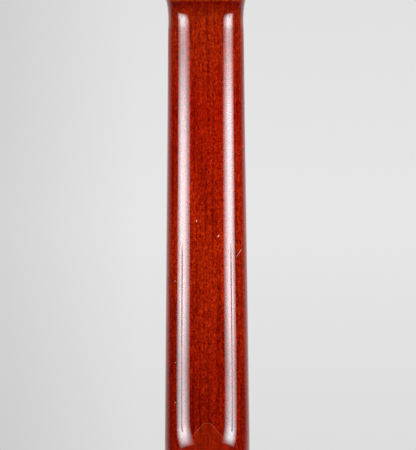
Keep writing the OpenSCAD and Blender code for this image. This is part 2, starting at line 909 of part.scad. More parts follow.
module neck_bolts() {
    seat = -side_t - neck_block_len;
    color("silver")
        bolt_places() {
            translate([0, 0, seat - washer_t])
                cylinder(h = bolt_grip - seat + washer_t - bolt_end_room, r = bolt_r);
            translate([0, 0, seat - washer_t])
                cylinder(h = washer_t, r = washer_r);
            translate([0, 0, seat - washer_t - bolt_r])
                cylinder(h = bolt_r, r = bolt_head_r, $fn = 6);
        }
}

module tail_holes() {
    translate([0, 0, tail_z - 1])
        cylinder(h = pin_depth + 1 + glue_gap, r = pin_shank_r + glue_gap);
    for (k = [0 : 3])
        translate([string_x(k, saddle_string_x), hitch_y(k), tail_z - 1])
            cylinder(h = hitch_depth + 1 + glue_gap, r = hitch_r + glue_gap);
}

module end_pin() {
    neck_r = 0.6 * pin_head_r;
    color("saddlebrown")
        rotate_extrude()
            polygon([[0, 0], [0.55 * pin_head_r, 0], [0.9 * pin_head_r, 0.12 * pin_head_h],
                [pin_head_r, 0.25 * pin_head_h], [0.9 * pin_head_r, 0.38 * pin_head_h],
                [neck_r, 0.55 * pin_head_h], [neck_r, 0.8 * pin_head_h], [pin_head_r, 0.9 * pin_head_h],
                [pin_head_r, pin_head_h], [pin_shank_r, pin_head_h], [pin_shank_r, pin_head_h + pin_depth],
                [0, pin_head_h + pin_depth]]);
}

module hitch_pins() {
    color("silver")
        for (k = [0 : 3])
            translate([string_x(k, saddle_string_x), hitch_y(k), tail_z - hitch_out])
                rotate_extrude()
                    polygon([[0, 0], [0.8 * hitch_head_r, 0], [hitch_head_r, hitch_head_h / 3],
                        [hitch_head_r, hitch_head_h * 2 / 3], [hitch_r, hitch_head_h],
                        [hitch_r, hitch_out + hitch_depth], [0, hitch_out + hitch_depth]]);
}

// ---- Tuners ----

module screw_places() {
    for (s = [plate_low + screw_inset, plate_high - screw_inset])
        translate([0, 0, s])
            children();
}

module tuner_plate(i) {
    color("silver")
        at_tuner(i)
            difference() {
                union() {
                    slab(head_t, head_t + plate_t)
                        translate([-plate_w / 2, plate_low])
                            square([plate_w, plate_high - plate_low]);
                    for (x = [-lug_x - lug_t, lug_x])
                        translate([x, 0, -gear_centre]) {
                            translate([0, head_t, -lug_half])
                                cube([lug_t, worm_y - head_t, 2 * lug_half]);
                            translate([0, worm_y, 0])
                                rotate([0, 90, 0])
                                    cylinder(h = lug_t, r = lug_half);
                        }
                }
                across_head(head_t - cut_over, head_t + plate_t + cut_over, post_r + running_gap);
                screw_places()
                    across_head(head_t - cut_over, head_t + plate_t + cut_over, screw_r + glue_gap);
                translate([-plate_w, worm_y, -gear_centre])
                    rotate([0, 90, 0])
                        cylinder(h = 2 * plate_w, r = worm_shaft_r + running_gap);
            }
}

module tuner_screws() {
    color("silver")
        for (i = TUNERS)
            at_tuner(i)
                screw_places() {
                    across_head(head_t - screw_len, head_t + plate_t, screw_r);
                    across_head(head_t + plate_t, head_t + plate_t + screw_head_h, screw_head_r);
                }
}

module tuner_bushings() {
    flange_y = -overlay_t - bushing_flange;
    color("silver")
        for (i = TUNERS)
            at_tuner(i)
                difference() {
                    union() {
                        across_head(flange_y, -overlay_t, bushing_r + flange_lip);
                        across_head(-overlay_t, bushing_depth, bushing_r);
                    }
                    across_head(flange_y - cut_over, bushing_depth + cut_over, post_r + running_gap);
                }
}

// The thread's section at an angle: a low trapezium from the root to the tip.
function thread_section(turn) =
    let (a = 360 * turn, x = worm_pitch * turn, run = tan(FLANK_ANGLE), half = thread_half,
        fade = min(1, turn * 4, (thread_turns - turn) * 4),
        tip = mix(worm_root_r + thread_sink, worm_tip_r, fade), h = tip - worm_pitch_r,
        root = worm_root_r - thread_sink, g = root - worm_pitch_r)
    [for (p = [[root, -half + g * run], [tip, -half + h * run],
        [tip, half - h * run], [root, half - g * run]])
        [x + p[1], p[0] * cos(a), p[0] * sin(a)]];
thread_half = 0.37;
thread_sink = 0.1;
thread_turns = 3.4;
THREAD_STEPS = 18;

module worm_thread() {
    steps = floor(thread_turns * THREAD_STEPS);
    loft(backwards([for (k = [0 : steps]) thread_section(mix(EPS, thread_turns - EPS, k / steps))]));
}

module tuner_worm(i) {
    reach_out = button_x + button_grip;
    color("silver")
        at_tuner(i)
            translate([0, worm_y, -gear_centre]) {
                rotate([0, 90, 0])
                    rotate_extrude()
                        polygon([[0, -lug_x - lug_t - 1], [worm_shaft_r, -lug_x - lug_t - 1],
                            [worm_shaft_r, -worm_len / 2], [worm_root_r, -worm_len / 2],
                            [worm_root_r, worm_len / 2], [worm_shaft_r, worm_len / 2],
                            [worm_shaft_r, reach_out], [0, reach_out]]);
                translate([-worm_pitch * thread_turns / 2, 0, 0])
                    worm_thread();
            }
}

module tuner_button(i) {
    hole_r = worm_shaft_r + glue_gap;
    color("ivory")
        at_tuner(i)
            translate([button_x, worm_y, -gear_centre])
                difference() {
                    union() {
                        rotate([0, 90, 0])
                            cylinder(h = button_neck + 1, r = button_t / 2);
                        translate([(button_len + button_neck) / 2, button_t / 2, 0])
                            rotate([90, 0, 0])
                                linear_extrude(button_t)
                                    scale([(button_len - button_neck) / button_w, 1])
                                        circle(r = button_w / 2);
                    }
                    translate([-1, 0, 0])
                        rotate([0, 90, 0])
                            cylinder(h = button_grip + 1 + glue_gap, r = hole_r);
                }
}

module tuner_post(i) {
    waist_r = post_r - waist_gap;
    tail = worm_y - gear_t / 2;
    color("silver")
        at_tuner(i)
            difference() {
                rotate([90, 0, 0])
                    rotate_extrude()
                        polygon([[0, -tail - gear_t], [gear_seat_r, -tail - gear_t], [gear_seat_r, -tail],
                            [post_r, -tail], [post_r, wind_depth - 2.2], [waist_r, wind_depth - 1.8],
                            [waist_r, wind_depth + 2], [post_r, wind_depth + 2.6], [post_r, post_h - 0.8],
                            [post_r - 0.8, post_h], [0, post_h]]);
                translate([-2 * post_r, -wind_depth - hole_above_turns, 0])
                    rotate([0, 90, 0])
                        cylinder(h = 4 * post_r, r = string_hole_r);
                across_head(tail + gear_t - gear_screw_len - glue_gap, tail + gear_t + cut_over,
                    screw_r + glue_gap);
            }
}

tooth_half = 0.42;
tooth_sink = 0.3;
gear_root_room = 0.1;
gear_washer_t = 1.4;
gear_screw_len = 2.8;

module gear_outline() {
    tip = gear_r + gear_module;
    root = gear_r - gear_module - gear_root_room;
    foot = gear_r - root + tooth_sink;
    half = tooth_half;
    run = tan(FLANK_ANGLE);
    circle(r = root, $fn = 60);
    for (k = [0 : GEAR_TEETH - 1])
        rotate(360 * k / GEAR_TEETH)
            polygon([[-half - foot * run, gear_r - foot], [-half + (tip - gear_r) * run, tip],
                [half - (tip - gear_r) * run, tip], [half + foot * run, gear_r - foot]]);
}

module tuner_gear(i) {
    low = worm_y - gear_t / 2;
    color("goldenrod")
        at_tuner(i) {
            difference() {
                slab(low, low + gear_t)
                    gear_outline();
                across_head(low - cut_over, low + gear_t + cut_over, gear_seat_r);
            }
            across_head(low + gear_t, low + gear_t + gear_washer_t, gear_washer_r);
            across_head(low + gear_t - gear_screw_len, low + gear_t, screw_r);
        }
}

module string_winding(i) {
    k = search(i, STRING_POST)[0];
    r = STRING_R[k];
    color("silver")
        at_tuner(i)
            translate([0, -wind_depth, 0])
                rotate([90, 0, 0])
                    rotate_extrude()
                        union() {
                            translate([post_r - waist_gap, -(wind_turns - 1) * r])
                                square([r, 2 * (wind_turns - 1) * r]);
                            for (n = [0 : wind_turns - 1])
                                translate([post_r - waist_gap + r, (2 * n - wind_turns + 1) * r])
                                    circle(r = r, $fn = 16);
                        }
}

neck_shaft();
headstock();
headstock_overlay();
heel_block();
heel_cap();
neck_bar();
fretboard();
fretboard_riser();
frets();
nut();
position_dots();
saddle();
tail_strip();
soundboard();
back_plate();
side_bass();
side_treble();
binding_front();
binding_back();
linings_front();
linings_back();
neck_block();
tail_block();
top_braces();
back_braces();
end_pin();
hitch_pins();
neck_bolts();
tuner_bushings();
tuner_screws();
for (i = TUNERS) {
    tuner_plate(i);
    tuner_worm(i);
    tuner_button(i);
    tuner_post(i);
    tuner_gear(i);
    string_winding(i);
}
for (k = [0 : 3])
    guitar_string(k);
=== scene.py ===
# %% [markdown]
# # A dulcimer seen from behind its neck
# The photograph shows only the back of the instrument's neck, so the neck gets the finest surface
# and the most careful gloss. Everything else is dressed too, because the part is seen from all sides.
# The CAD frame is loaded first.

# %% Load the frame
import json
import math

import bmesh
import bpy
from mathutils import Matrix, Vector
from mathutils.bvhtree import BVHTree


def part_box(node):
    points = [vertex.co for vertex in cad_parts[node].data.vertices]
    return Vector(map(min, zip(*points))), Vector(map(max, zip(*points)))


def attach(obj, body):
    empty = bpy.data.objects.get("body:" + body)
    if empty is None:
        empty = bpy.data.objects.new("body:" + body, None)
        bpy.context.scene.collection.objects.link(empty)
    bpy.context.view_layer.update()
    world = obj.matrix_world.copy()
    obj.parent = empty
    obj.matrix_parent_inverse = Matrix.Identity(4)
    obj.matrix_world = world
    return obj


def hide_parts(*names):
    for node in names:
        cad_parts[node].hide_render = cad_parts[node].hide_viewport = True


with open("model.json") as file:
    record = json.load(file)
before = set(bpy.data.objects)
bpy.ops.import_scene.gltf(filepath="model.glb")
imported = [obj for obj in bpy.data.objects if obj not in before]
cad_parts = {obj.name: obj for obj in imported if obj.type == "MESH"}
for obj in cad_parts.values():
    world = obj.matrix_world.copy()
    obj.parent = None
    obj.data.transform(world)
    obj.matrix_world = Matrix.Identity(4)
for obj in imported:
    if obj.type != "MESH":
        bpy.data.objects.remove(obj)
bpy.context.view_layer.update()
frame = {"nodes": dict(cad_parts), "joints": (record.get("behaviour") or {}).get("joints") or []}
MM = 0.001
TUNERS = (1, 2, 3, 4)
bpy.ops.object.select_all(action="DESELECT")
print("frame nodes:", len(frame["nodes"]))

# %% [markdown]
# ## The photograph's points
# These few places were read off the photograph, in its 416 by 450 frame. The camera's numbers below were
# matched to the neck's two edges at three heights: their distance to the scale, their middle to aim and
# roll.

# %% Image points
W, H = 416, 450
L = max(W, H)
POINTS = {
    "left_edge_top": (168.2, 20.5),
    "right_edge_top": (243.9, 20.5),
    "left_edge_middle": (166.6, 225.5),
    "right_edge_middle": (246.5, 225.5),
    "left_edge_low": (164.9, 400.5),
    "right_edge_low": (249.1, 400.5),
    "flare_left": (166.0, 0.5),
    "flare_right": (245.5, 0.5),
    "glue_arch": (208.5, 423.5),
    "scratch": (239.0, 253.0),
    "chip_upper": (196.5, 221.0),
    "chip_centre": (218.5, 236.0),
    "chip_left": (175.0, 281.0),
    "chip_low_left": (175.3, 362.5),
    "chip_lowest": (175.5, 402.5),
}
print("image points:", len(POINTS))

# %% [markdown]
# ## Sizes taken from the frame
# The neck's formulas start from a few places that the frame knows: where the nut, the body and the
# glue plane are. The rest repeats the part's own sizes, in metres.

# %% Places on the neck
NUT_LOW, NUT_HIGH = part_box("nut")
BODY_LOW, BODY_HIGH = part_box("side_treble")
SHAFT_LOW, SHAFT_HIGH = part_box("neck_shaft")
NUT_Z, FOOT_Z = NUT_LOW.z, NUT_HIGH.z
GLUE_Y, BACK_Y = SHAFT_LOW.y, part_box("back_plate")[1].y
TOP_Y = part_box("soundboard")[0].y
JOINT_Z = BODY_HIGH.z
TAIL_Z = BODY_LOW.z
NUT_HALF, JOINT_HALF = NUT_HIGH.x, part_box("fretboard_riser")[1].x
HEAD_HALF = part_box("headstock")[1].x
NUT_DEPTH, DEPTH_GAIN = 14.7 * MM, 2.0 * MM
ARCH_DEPTH = NUT_DEPTH + DEPTH_GAIN
ARCH_Z = JOINT_Z + 43.6 * MM
LEAD, LEAD_RISE = 30 * MM, 0.45 * MM
FOOT_AT, FOOT_TURN, CURVE_RISE, HEEL_POWER = 27 * MM, 1 * MM, 15.4 * MM, 2.4
SHAFT_LOSS = DEPTH_GAIN - LEAD_RISE
HEEL_OVERRUN = 9 * MM
BACK_DEPTH = BACK_Y - GLUE_Y
CAP_T = 3 * MM
FLARE_Z, FLARE_LEN = NUT_Z - 7 * MM, 38 * MM
TILT, HEAD_T, HEAD_LEN, THROAT_R = math.radians(13), 16.8 * MM, 150 * MM, 32 * MM
THROAT_LEAD, LEAD_TURN = 14 * MM, math.radians(2.5)
THROAT_LIFT = math.tan(LEAD_TURN) * THROAT_LEAD / 2
THROAT_S = (NUT_DEPTH - HEAD_T * math.cos(TILT)) / math.sin(TILT)
THROAT_Z = FOOT_Z + THROAT_S * math.cos(TILT) - HEAD_T * math.sin(TILT)
TURN_LEFT = TILT - LEAD_TURN
ARC_DROP = math.cos(LEAD_TURN) * THROAT_R * math.tan(TURN_LEFT / 2)
SCARF_Z = THROAT_Z + (THROAT_LIFT - ARC_DROP * (math.tan(TILT) - math.tan(LEAD_TURN))) / math.tan(TILT)
CORNER_R = 14 * MM
HEEL_END_POWER, NUT_END_POWER, HEAD_POWER, SQUARE_AFTER, SQUARE_LEN = 2.4, 2.7, 9, 4 * MM, 40 * MM
print("nut", round(NUT_Z, 4), "joint", round(JOINT_Z, 4), "glue plane", round(GLUE_Y, 4))
print("scarf", round(SCARF_Z, 5), "in CAD", round(SHAFT_HIGH.z, 5), "arch depth", round(ARCH_DEPTH, 5),
      "in CAD", round(SHAFT_HIGH.y - GLUE_Y, 5))

# %% [markdown]
# ## The camera
# The photographer stood straight behind the neck with a long lens. The camera looks along -Y, so the
# picture's right is -X. The scale at the neck's back and the distance set the lens.

# %% Camera
DISTANCE = 2.0
MM_PER_POINT = 0.5662 * MM
NECK_BACK_Y = SHAFT_HIGH.y
SENSOR = 36.0
LENS = DISTANCE / MM_PER_POINT / L * SENSOR
ROLL = math.radians(-0.18)
AIM = Vector((-0.85 * MM, NECK_BACK_Y, NUT_Z - 122.9 * MM))
camera_data = bpy.data.cameras.new("camera")
camera_data.sensor_width, camera_data.sensor_fit, camera_data.lens = SENSOR, "AUTO", LENS
camera_data.clip_start, camera_data.clip_end = 0.05, 60
camera = bpy.data.objects.new("camera", camera_data)
bpy.context.collection.objects.link(camera)
camera.location = AIM + Vector((0, DISTANCE, 0))
camera.rotation_euler = (Matrix.Rotation(math.pi, 3, "Z") @ Matrix.Rotation(math.pi / 2, 3, "X")
                         @ Matrix.Rotation(ROLL, 3, "Z")).to_euler()
bpy.context.scene.camera = camera
bpy.context.view_layer.update()
print("lens", round(LENS, 1), "mm")


def to_image(point):
    """Where a point of the scene shows in the photograph's frame."""
    p = camera.matrix_world.inverted() @ Vector(point)
    k = L * LENS / SENSOR / -p.z
    return W / 2 + p.x * k, H / 2 - p.y * k


def at_image(x, y, tree):
    """The place on a surface that shows at an image point, and the surface's direction there."""
    ray = Vector((x - W / 2, H / 2 - y, -L * LENS / SENSOR))
    direction = (camera.matrix_world.to_3x3() @ ray).normalized()
    place, normal, _, _ = tree.ray_cast(camera.location, direction)
    return place, normal


# %% [markdown]
# ## Small helpers for modelling
# A loft is made as one would by hand: a filled circle is bent to the first section, then extruded once
# for each further section, and each new rim is moved to its place. Extruding keeps the walls tidy, so
# the gloss runs over them without a ripple.

# %% Loft by extruding
def only(piece):
    bpy.ops.object.select_all(action="DESELECT")
    piece.select_set(True)
    bpy.context.view_layer.objects.active = piece


def finish_modifiers(piece):
    only(piece)
    for modifier in list(piece.modifiers):
        bpy.ops.object.modifier_apply(modifier=modifier.name)


def settle(piece):
    """Puts the piece's place into its mesh, so that its object sits at the origin."""
    only(piece)
    bpy.ops.object.transform_apply(location=True, rotation=True, scale=True)


def smooth(piece, angle):
    only(piece)
    bpy.ops.object.shade_smooth_by_angle(angle=math.radians(angle))


def outward(piece):
    only(piece)
    bpy.ops.object.mode_set(mode="EDIT")
    bpy.ops.mesh.select_all(action="SELECT")
    bpy.ops.mesh.normals_make_consistent(inside=False)
    bpy.ops.object.mode_set(mode="OBJECT")


def loft(name, rings):
    """Extrudes a filled circle through a list of equal sections."""
    count = len(rings[0])
    bpy.ops.object.select_all(action="DESELECT")
    bpy.ops.mesh.primitive_circle_add(vertices=count, fill_type="NGON")
    piece = bpy.context.object
    piece.name = piece.data.name = name
    bpy.ops.object.mode_set(mode="EDIT")
    mesh = bmesh.from_edit_mesh(piece.data)
    mesh.verts.ensure_lookup_table()
    for i, place in enumerate(rings[0]):
        mesh.verts[i].co = place
    for ring in rings[1:]:
        bpy.ops.mesh.extrude_region_move()
        mesh = bmesh.from_edit_mesh(piece.data)
        mesh.verts.ensure_lookup_table()
        fresh = [v for v in mesh.verts if v.select]
        if ring is rings[1]:
            order = match_order(fresh, rings[0])
        for v, i in zip(fresh, order):
            v.co = ring[i]
    bmesh.update_edit_mesh(piece.data)
    bpy.ops.object.mode_set(mode="OBJECT")
    outward(piece)
    return piece


def match_order(vertices, ring):
    """Which place of the ring each vertex stands on."""
    return [min(range(len(ring)), key=lambda i: (Vector(ring[i]) - v.co).length_squared) for v in vertices]


# %% [markdown]
# ## The neck's surface as a formula
# The back of the neck is a slightly squared half-ellipse. It hardly changes along the shaft, swells
# into the heel at one end and turns into the flat head at the other. The same formula serves the
# shaft, the heel and the head, so they meet without a step.

# %% Neck formulas
PROFILE_STEPS = 96


def ease(t):
    u = max(0.0, min(1.0, t))
    return u * u * (3 - 2 * u)


def mix(a, b, t):
    return a + (b - a) * t


def neck_half(z):
    straight = mix(NUT_HALF, JOINT_HALF, min(1.0, (NUT_Z - z) / (NUT_Z - JOINT_Z)))
    return mix(straight, HEAD_HALF, ease((z - FLARE_Z) / FLARE_LEN))


def neck_reach(z):
    d = ARCH_Z - z
    if d <= 0:
        up = -d / (NUT_Z - ARCH_Z)
        lead = max(0.0, 1 + d / LEAD)
        lift = THROAT_LIFT * max(0.0, 1 + (z - SCARF_Z) / THROAT_LEAD) ** 2
        return ARCH_DEPTH - LEAD_RISE * (1 - lead * lead) - SHAFT_LOSS * min(1.0, up) + lift
    slope = 2 * LEAD_RISE / LEAD
    if d < FOOT_AT:
        curve = 1 - (1 - (d / FOOT_AT) ** HEEL_POWER) ** (1 / HEEL_POWER)
        return ARCH_DEPTH + slope * d + CURVE_RISE * curve
    turned = ARCH_DEPTH + slope * FOOT_AT + CURVE_RISE
    if d < FOOT_AT + FOOT_TURN:
        return mix(turned, BACK_DEPTH, (d - FOOT_AT) / FOOT_TURN)
    rest = (d - FOOT_AT - FOOT_TURN) / (ARCH_Z - JOINT_Z - FOOT_AT - FOOT_TURN)
    return BACK_DEPTH + HEEL_OVERRUN * math.sqrt(rest)


def profile(half, deep, power):
    """Half-width and depth round the back of a section, from +X to -X."""
    points = []
    for i in range(PROFILE_STEPS + 1):
        t = math.pi * (i / PROFILE_STEPS)
        c, s = math.cos(t), abs(math.sin(t))
        x = math.copysign(half * abs(c) ** (2 / power), c)
        points.append((x, deep * s ** (2 / power)))
    return points


def level_ring(z):
    share = max(0.0, min(1.0, (z - ARCH_Z) / (SCARF_Z - ARCH_Z)))
    power = mix(HEEL_END_POWER, NUT_END_POWER, share ** 2)
    return [(x, GLUE_Y + d, z) for x, d in profile(neck_half(z), neck_reach(z), power)]


def stations(start, end, count):
    return [mix(start, end, i / count) for i in range(count + 1)]


# %% [markdown]
# ## The shaft and the heel
# On the real neck the shaft is one length of mahogany and the heel is a second block glued under it,
# with a thin rosewood cap on top. They are carved together, so one loft is made of all three and sawn
# apart along the two glue planes. The arch where the heel ends appears by itself, and the gloss runs
# over it without a step. A thin line of squeezed-out glue follows the arch.

# %% Shaft and heel
WELD = 0.001 * MM
DEPTH_HALVINGS = 30
GLUE_LINE_R = 0.11 * MM
GLUE_LEAN, GLUE_RISE = 0.6, 0.8
GLUE_REACH, GLUE_STEPS, GLUE_SIDES = 0.4, 30, 8


def heel_stations():
    steep = stations(JOINT_Z, ARCH_Z - FOOT_AT - FOOT_TURN, 12)
    turn = [ARCH_Z - FOOT_AT * math.sin(math.radians(a)) ** (2 / HEEL_POWER) for a in range(90, 0, -3)]
    return steep + turn + [ARCH_Z]


def saw(piece, level, keep_front):
    """Cuts a piece along a plane parallel to the soundboard and closes the cut."""
    only(piece)
    bpy.ops.object.mode_set(mode="EDIT")
    bpy.ops.mesh.select_all(action="SELECT")
    bpy.ops.mesh.bisect(plane_co=(0, level, 0), plane_no=(0, 1, 0), use_fill=True, threshold=WELD,
                        clear_outer=keep_front, clear_inner=not keep_front)
    bpy.ops.mesh.mark_sharp()
    bpy.ops.object.mode_set(mode="OBJECT")


def twin(piece, name):
    made = piece.copy()
    made.data = piece.data.copy()
    made.name = made.data.name = name
    bpy.context.collection.objects.link(made)
    return made


shaft_z = (heel_stations() + stations(ARCH_Z, ARCH_Z + LEAD, 20)[1:]
           + stations(ARCH_Z + LEAD, SCARF_Z - THROAT_LEAD, 60)[1:]
           + stations(SCARF_Z - THROAT_LEAD, SCARF_Z, 24)[1:])
shaft = loft("neck_shaft_wood", [level_ring(z) for z in shaft_z])
heel, cap = twin(shaft, "heel_wood"), twin(shaft, "heel_cap_wood")
HEEL_Y, CAP_Y = GLUE_Y + ARCH_DEPTH, BACK_Y - CAP_T
saw(shaft, HEEL_Y, True)
saw(heel, HEEL_Y, False)
saw(heel, CAP_Y, True)
saw(cap, CAP_Y, False)
saw(cap, BACK_Y, True)
for piece, node in ((shaft, "neck_shaft"), (heel, "heel_block"), (cap, "heel_cap")):
    smooth(piece, 30)
    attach(piece, "root")
    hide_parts(node)
print("shaft faces", len(shaft.data.polygons), "heel faces", len(heel.data.polygons))


def height_at_depth(depth):
    """How far below the arch's top the neck reaches a depth, found by halving."""
    low, high = 0.0, FOOT_AT
    for _ in range(DEPTH_HALVINGS):
        middle = (low + high) / 2
        low, high = (middle, high) if neck_reach(ARCH_Z - middle) < depth else (low, middle)
    return low


def glue_ring(share):
    """A small ring round the arch, where the heel meets the shaft at a share of the half-width."""
    z = ARCH_Z - height_at_depth(ARCH_DEPTH / (1 - abs(share) ** HEEL_END_POWER) ** (1 / HEEL_END_POWER))
    x = share * neck_half(z)
    lean = math.copysign(GLUE_LEAN, share)
    return [(x + GLUE_LINE_R * math.sin(a) * lean, HEEL_Y + GLUE_LINE_R * math.cos(a),
             z + GLUE_LINE_R * math.sin(a) * GLUE_RISE)
            for a in (k * math.tau / GLUE_SIDES for k in range(GLUE_SIDES))]


glue_line = loft("heel_glue_line", [glue_ring(GLUE_REACH * k / GLUE_STEPS)
                                    for k in range(-GLUE_STEPS, GLUE_STEPS + 1)])
smooth(glue_line, 60)
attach(glue_line, "root")

# %% [markdown]
# ## The head
# The head leans back by 13 degrees. Its back starts where the scarf joint crosses the neck, bends
# through a short round throat and runs on flat. Each section is drawn between a point on the head's
# front and one on its back, and grows squarer as it leaves the neck.

# %% Head
BEND_LEN = THROAT_R * TURN_LEFT
BEND_END = THROAT_S + (SCARF_Z + ARC_DROP - THROAT_Z) / math.cos(TILT) + THROAT_R * math.tan(TURN_LEFT / 2)
HEAD_TOP = HEAD_LEN - BEND_END + BEND_LEN
TOP_TRIM = 0.1 * MM


def head_ring(t):
    s = mix(SCARF_Z - FOOT_Z, BEND_END, t / BEND_LEN) if t < BEND_LEN else BEND_END + t - BEND_LEN
    lean = max(0.0, s)
    front = (GLUE_Y + lean * math.sin(TILT), FOOT_Z + (s if s < 0 else s * math.cos(TILT)))
    a, run = min(TILT, LEAD_TURN + t / THROAT_R), max(0.0, t - BEND_LEN)
    back = (GLUE_Y + NUT_DEPTH + THROAT_LIFT + THROAT_R * (math.cos(LEAD_TURN) - math.cos(a))
            + run * math.sin(a),
            SCARF_Z + THROAT_R * (math.sin(a) - math.sin(LEAD_TURN)) + run * math.cos(a))
    half = neck_half(SCARF_Z + t)
    over = t - (HEAD_TOP - CORNER_R)
    if over > 0:
        half += math.sqrt(max(0.0, CORNER_R ** 2 - over ** 2)) - CORNER_R
    power = mix(NUT_END_POWER, HEAD_POWER, ease((t - SQUARE_AFTER) / SQUARE_LEN))
    return [(x, mix(front[0], back[0], d), mix(front[1], back[1], d)) for x, d in profile(half, 1, power)]


head_t = (stations(0, BEND_LEN, 12) + stations(BEND_LEN, BEND_LEN - BEND_END, 2)[1:]
          + stations(BEND_LEN - BEND_END, FLARE_LEN, 30)[1:]
          + stations(FLARE_LEN, HEAD_TOP - CORNER_R, 12)[1:]
          + [HEAD_TOP - CORNER_R * (1 - math.sin(math.radians(a))) for a in range(6, 90, 6)]
          + [HEAD_TOP - TOP_TRIM])
head = loft("headstock_wood", [head_ring(t) for t in head_t])
smooth(head, 30)
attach(head, "root")
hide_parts("headstock")
print("head faces", len(head.data.polygons))

# %% [markdown]
# ## The body's outline
# A dulcimer's sides are bent in an hourglass. The outline is a formula of three smooth stretches, a
# round one at each end and two blends at the waist, and every plate, side and edging follows it.

# %% Outline formulas
LOWER_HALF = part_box("side_treble")[1].x
WAIST_HALF, UPPER_HALF = 47.5 * MM, 65 * MM
END_HALF = 28 * MM
LOWER_AT, WAIST_AT, UPPER_BACK = 125 * MM, 243 * MM, 82 * MM
BODY_LEN = JOINT_Z - TAIL_Z
UPPER_AT = BODY_LEN - UPPER_BACK
BINDING_W, SIDE_T, TOP_T = 1.6 * MM, 2.4 * MM, 2.8 * MM
BOUT_STEPS, BOUT_POWER = 40, 1.9


def bout(z0, z1, w0, w1):
    """One quarter of a bout, from the flat end to its widest place."""
    made = []
    for i in range(BOUT_STEPS + 1):
        a = math.pi / 2 * i / BOUT_STEPS
        grown = max(0.0, 1 - math.cos(a) ** BOUT_POWER) ** (1 / BOUT_POWER)
        made.append(Vector((mix(w0, w1, grown), mix(z0, z1, 1 - math.cos(a)))))
    return made


def waist_blend(z0, z1, w0, w1):
    parts = [i / BOUT_STEPS for i in range(1, BOUT_STEPS)]
    return [Vector((mix(w0, w1, (1 - math.cos(math.pi * t)) / 2), mix(z0, z1, t))) for t in parts]


side_line = (bout(TAIL_Z, TAIL_Z + LOWER_AT, END_HALF, LOWER_HALF)
             + waist_blend(TAIL_Z + LOWER_AT, TAIL_Z + WAIST_AT, LOWER_HALF, WAIST_HALF)
             + waist_blend(TAIL_Z + WAIST_AT, TAIL_Z + UPPER_AT, WAIST_HALF, UPPER_HALF)
             + bout(JOINT_Z, TAIL_Z + UPPER_AT, END_HALF, UPPER_HALF)[::-1])


def inward(i):
    if i in (0, len(side_line) - 1):
        return Vector((0, 1 if i == 0 else -1))
    d = side_line[i + 1] - side_line[i - 1]
    return Vector((-d.y, d.x)).normalized()


def half_outline(inset):
    """The +X half of the outline, moved inwards, from the tail's middle to the neck's middle."""
    line = [p + inset * inward(i) for i, p in enumerate(side_line)]
    return [Vector((0, TAIL_Z + inset))] + line + [Vector((0, JOINT_Z - inset))]


def whole_outline(inset):
    half = half_outline(inset)
    return half + [Vector((-p.x, p.y)) for p in half[-2:0:-1]]


def bevel(piece, width, segments=2, angle=35):
    made = piece.modifiers.new("edge", "BEVEL")
    made.width, made.segments, made.limit_method = width, segments, "ANGLE"
    made.angle_limit = math.radians(angle)
    made.use_clamp_overlap = True


def plate(name, outline, y0, y1):
    """A flat board: a filled circle bent to the outline and extruded to its thickness."""
    return loft(name, [[(p.x, y, p.y) for p in outline] for y in (y0, y1)])


def cut(piece, tool):
    """Takes one shape out of another, and removes the shape that cut."""
    made = piece.modifiers.new("cut", "BOOLEAN")
    made.operation, made.solver, made.object = "DIFFERENCE", "EXACT", tool
    finish_modifiers(piece)
    bpy.data.objects.remove(tool)


# %% [markdown]
# ## Soundboard and hearts
# The soundboard is thin spruce with four heart-shaped sound holes. A heart is drawn as its two round
# lobes and its point, extruded and cut out, and the cut's rim is softened as sandpaper leaves it.

# %% Soundboard and back
HEART_W = 22 * MM
LOBE_SWELL, LOBE_UP, TIP_DOWN, LOBE_STEPS = 1.08, 0.1, 0.42, 24
HEART_PLACES = ((54, LOWER_AT), (42, UPPER_AT))
CUT_BEFORE, CUT_BEHIND = 2 * MM, 5 * MM
TOP_ROUNDING, BINDING_ROUNDING = 0.35 * MM, 0.5 * MM


def heart_outline(x, z):
    """Two round lobes whose sides run straight down to the point."""
    r = HEART_W / 4 * LOBE_SWELL
    lobe_x, lobe_z, tip_z = HEART_W / 2 - r, HEART_W * LOBE_UP, -HEART_W * TIP_DOWN
    reach_x, reach_z = lobe_x, lobe_z - tip_z
    far = math.hypot(reach_x, reach_z)
    leave = math.atan2(-reach_z, -reach_x) + math.acos(r / far)
    inner = math.pi - math.acos(lobe_x / r)
    right = [(0, tip_z)]
    for i in range(LOBE_STEPS + 1):
        a = mix(leave, inner, i / LOBE_STEPS)
        right.append((lobe_x + r * math.cos(a), lobe_z + r * math.sin(a)))
    left = [(-px, pz) for px, pz in right[-2:0:-1]]
    return [Vector((x + px, z + pz)) for px, pz in right + left]


soundboard = plate("spruce_top", whole_outline(BINDING_W), TOP_Y, TOP_Y + TOP_T)
for x, z in HEART_PLACES:
    for side in (-1, 1):
        tool = plate("heart", heart_outline(side * x * MM, TAIL_Z + z),
                     TOP_Y - CUT_BEFORE, TOP_Y + CUT_BEHIND)
        cut(soundboard, tool)
bevel(soundboard, TOP_ROUNDING)
finish_modifiers(soundboard)
back = plate("mahogany_back", whole_outline(BINDING_W), BACK_Y - TOP_T, BACK_Y)
print("soundboard faces", len(soundboard.data.polygons))

# %% [markdown]
# ## Sides and bindings
# Each side is one thin strip of mahogany bent round half of the outline. The bindings are narrow
# strips of dark wood let into the corner where the side meets a plate, rounded over by hand.

# %% Sides and bindings
def strip(name, outer, inner, y0, y1, rounding=0.0):
    """A strip of rectangular section that follows the outline, its outer corners rounded."""
    rings = []
    for a, b in zip(outer, inner):
        rings.append([(a.x, y0, a.y), (a.x, y1, a.y), (b.x, y1, b.y), (b.x, y0, b.y)])
    piece = loft(name, rings)
    if rounding:
        bevel(piece, rounding, 3)
        finish_modifiers(piece)
    return piece


def flipped(points):
    return [Vector((-p.x, p.y)) for p in points]


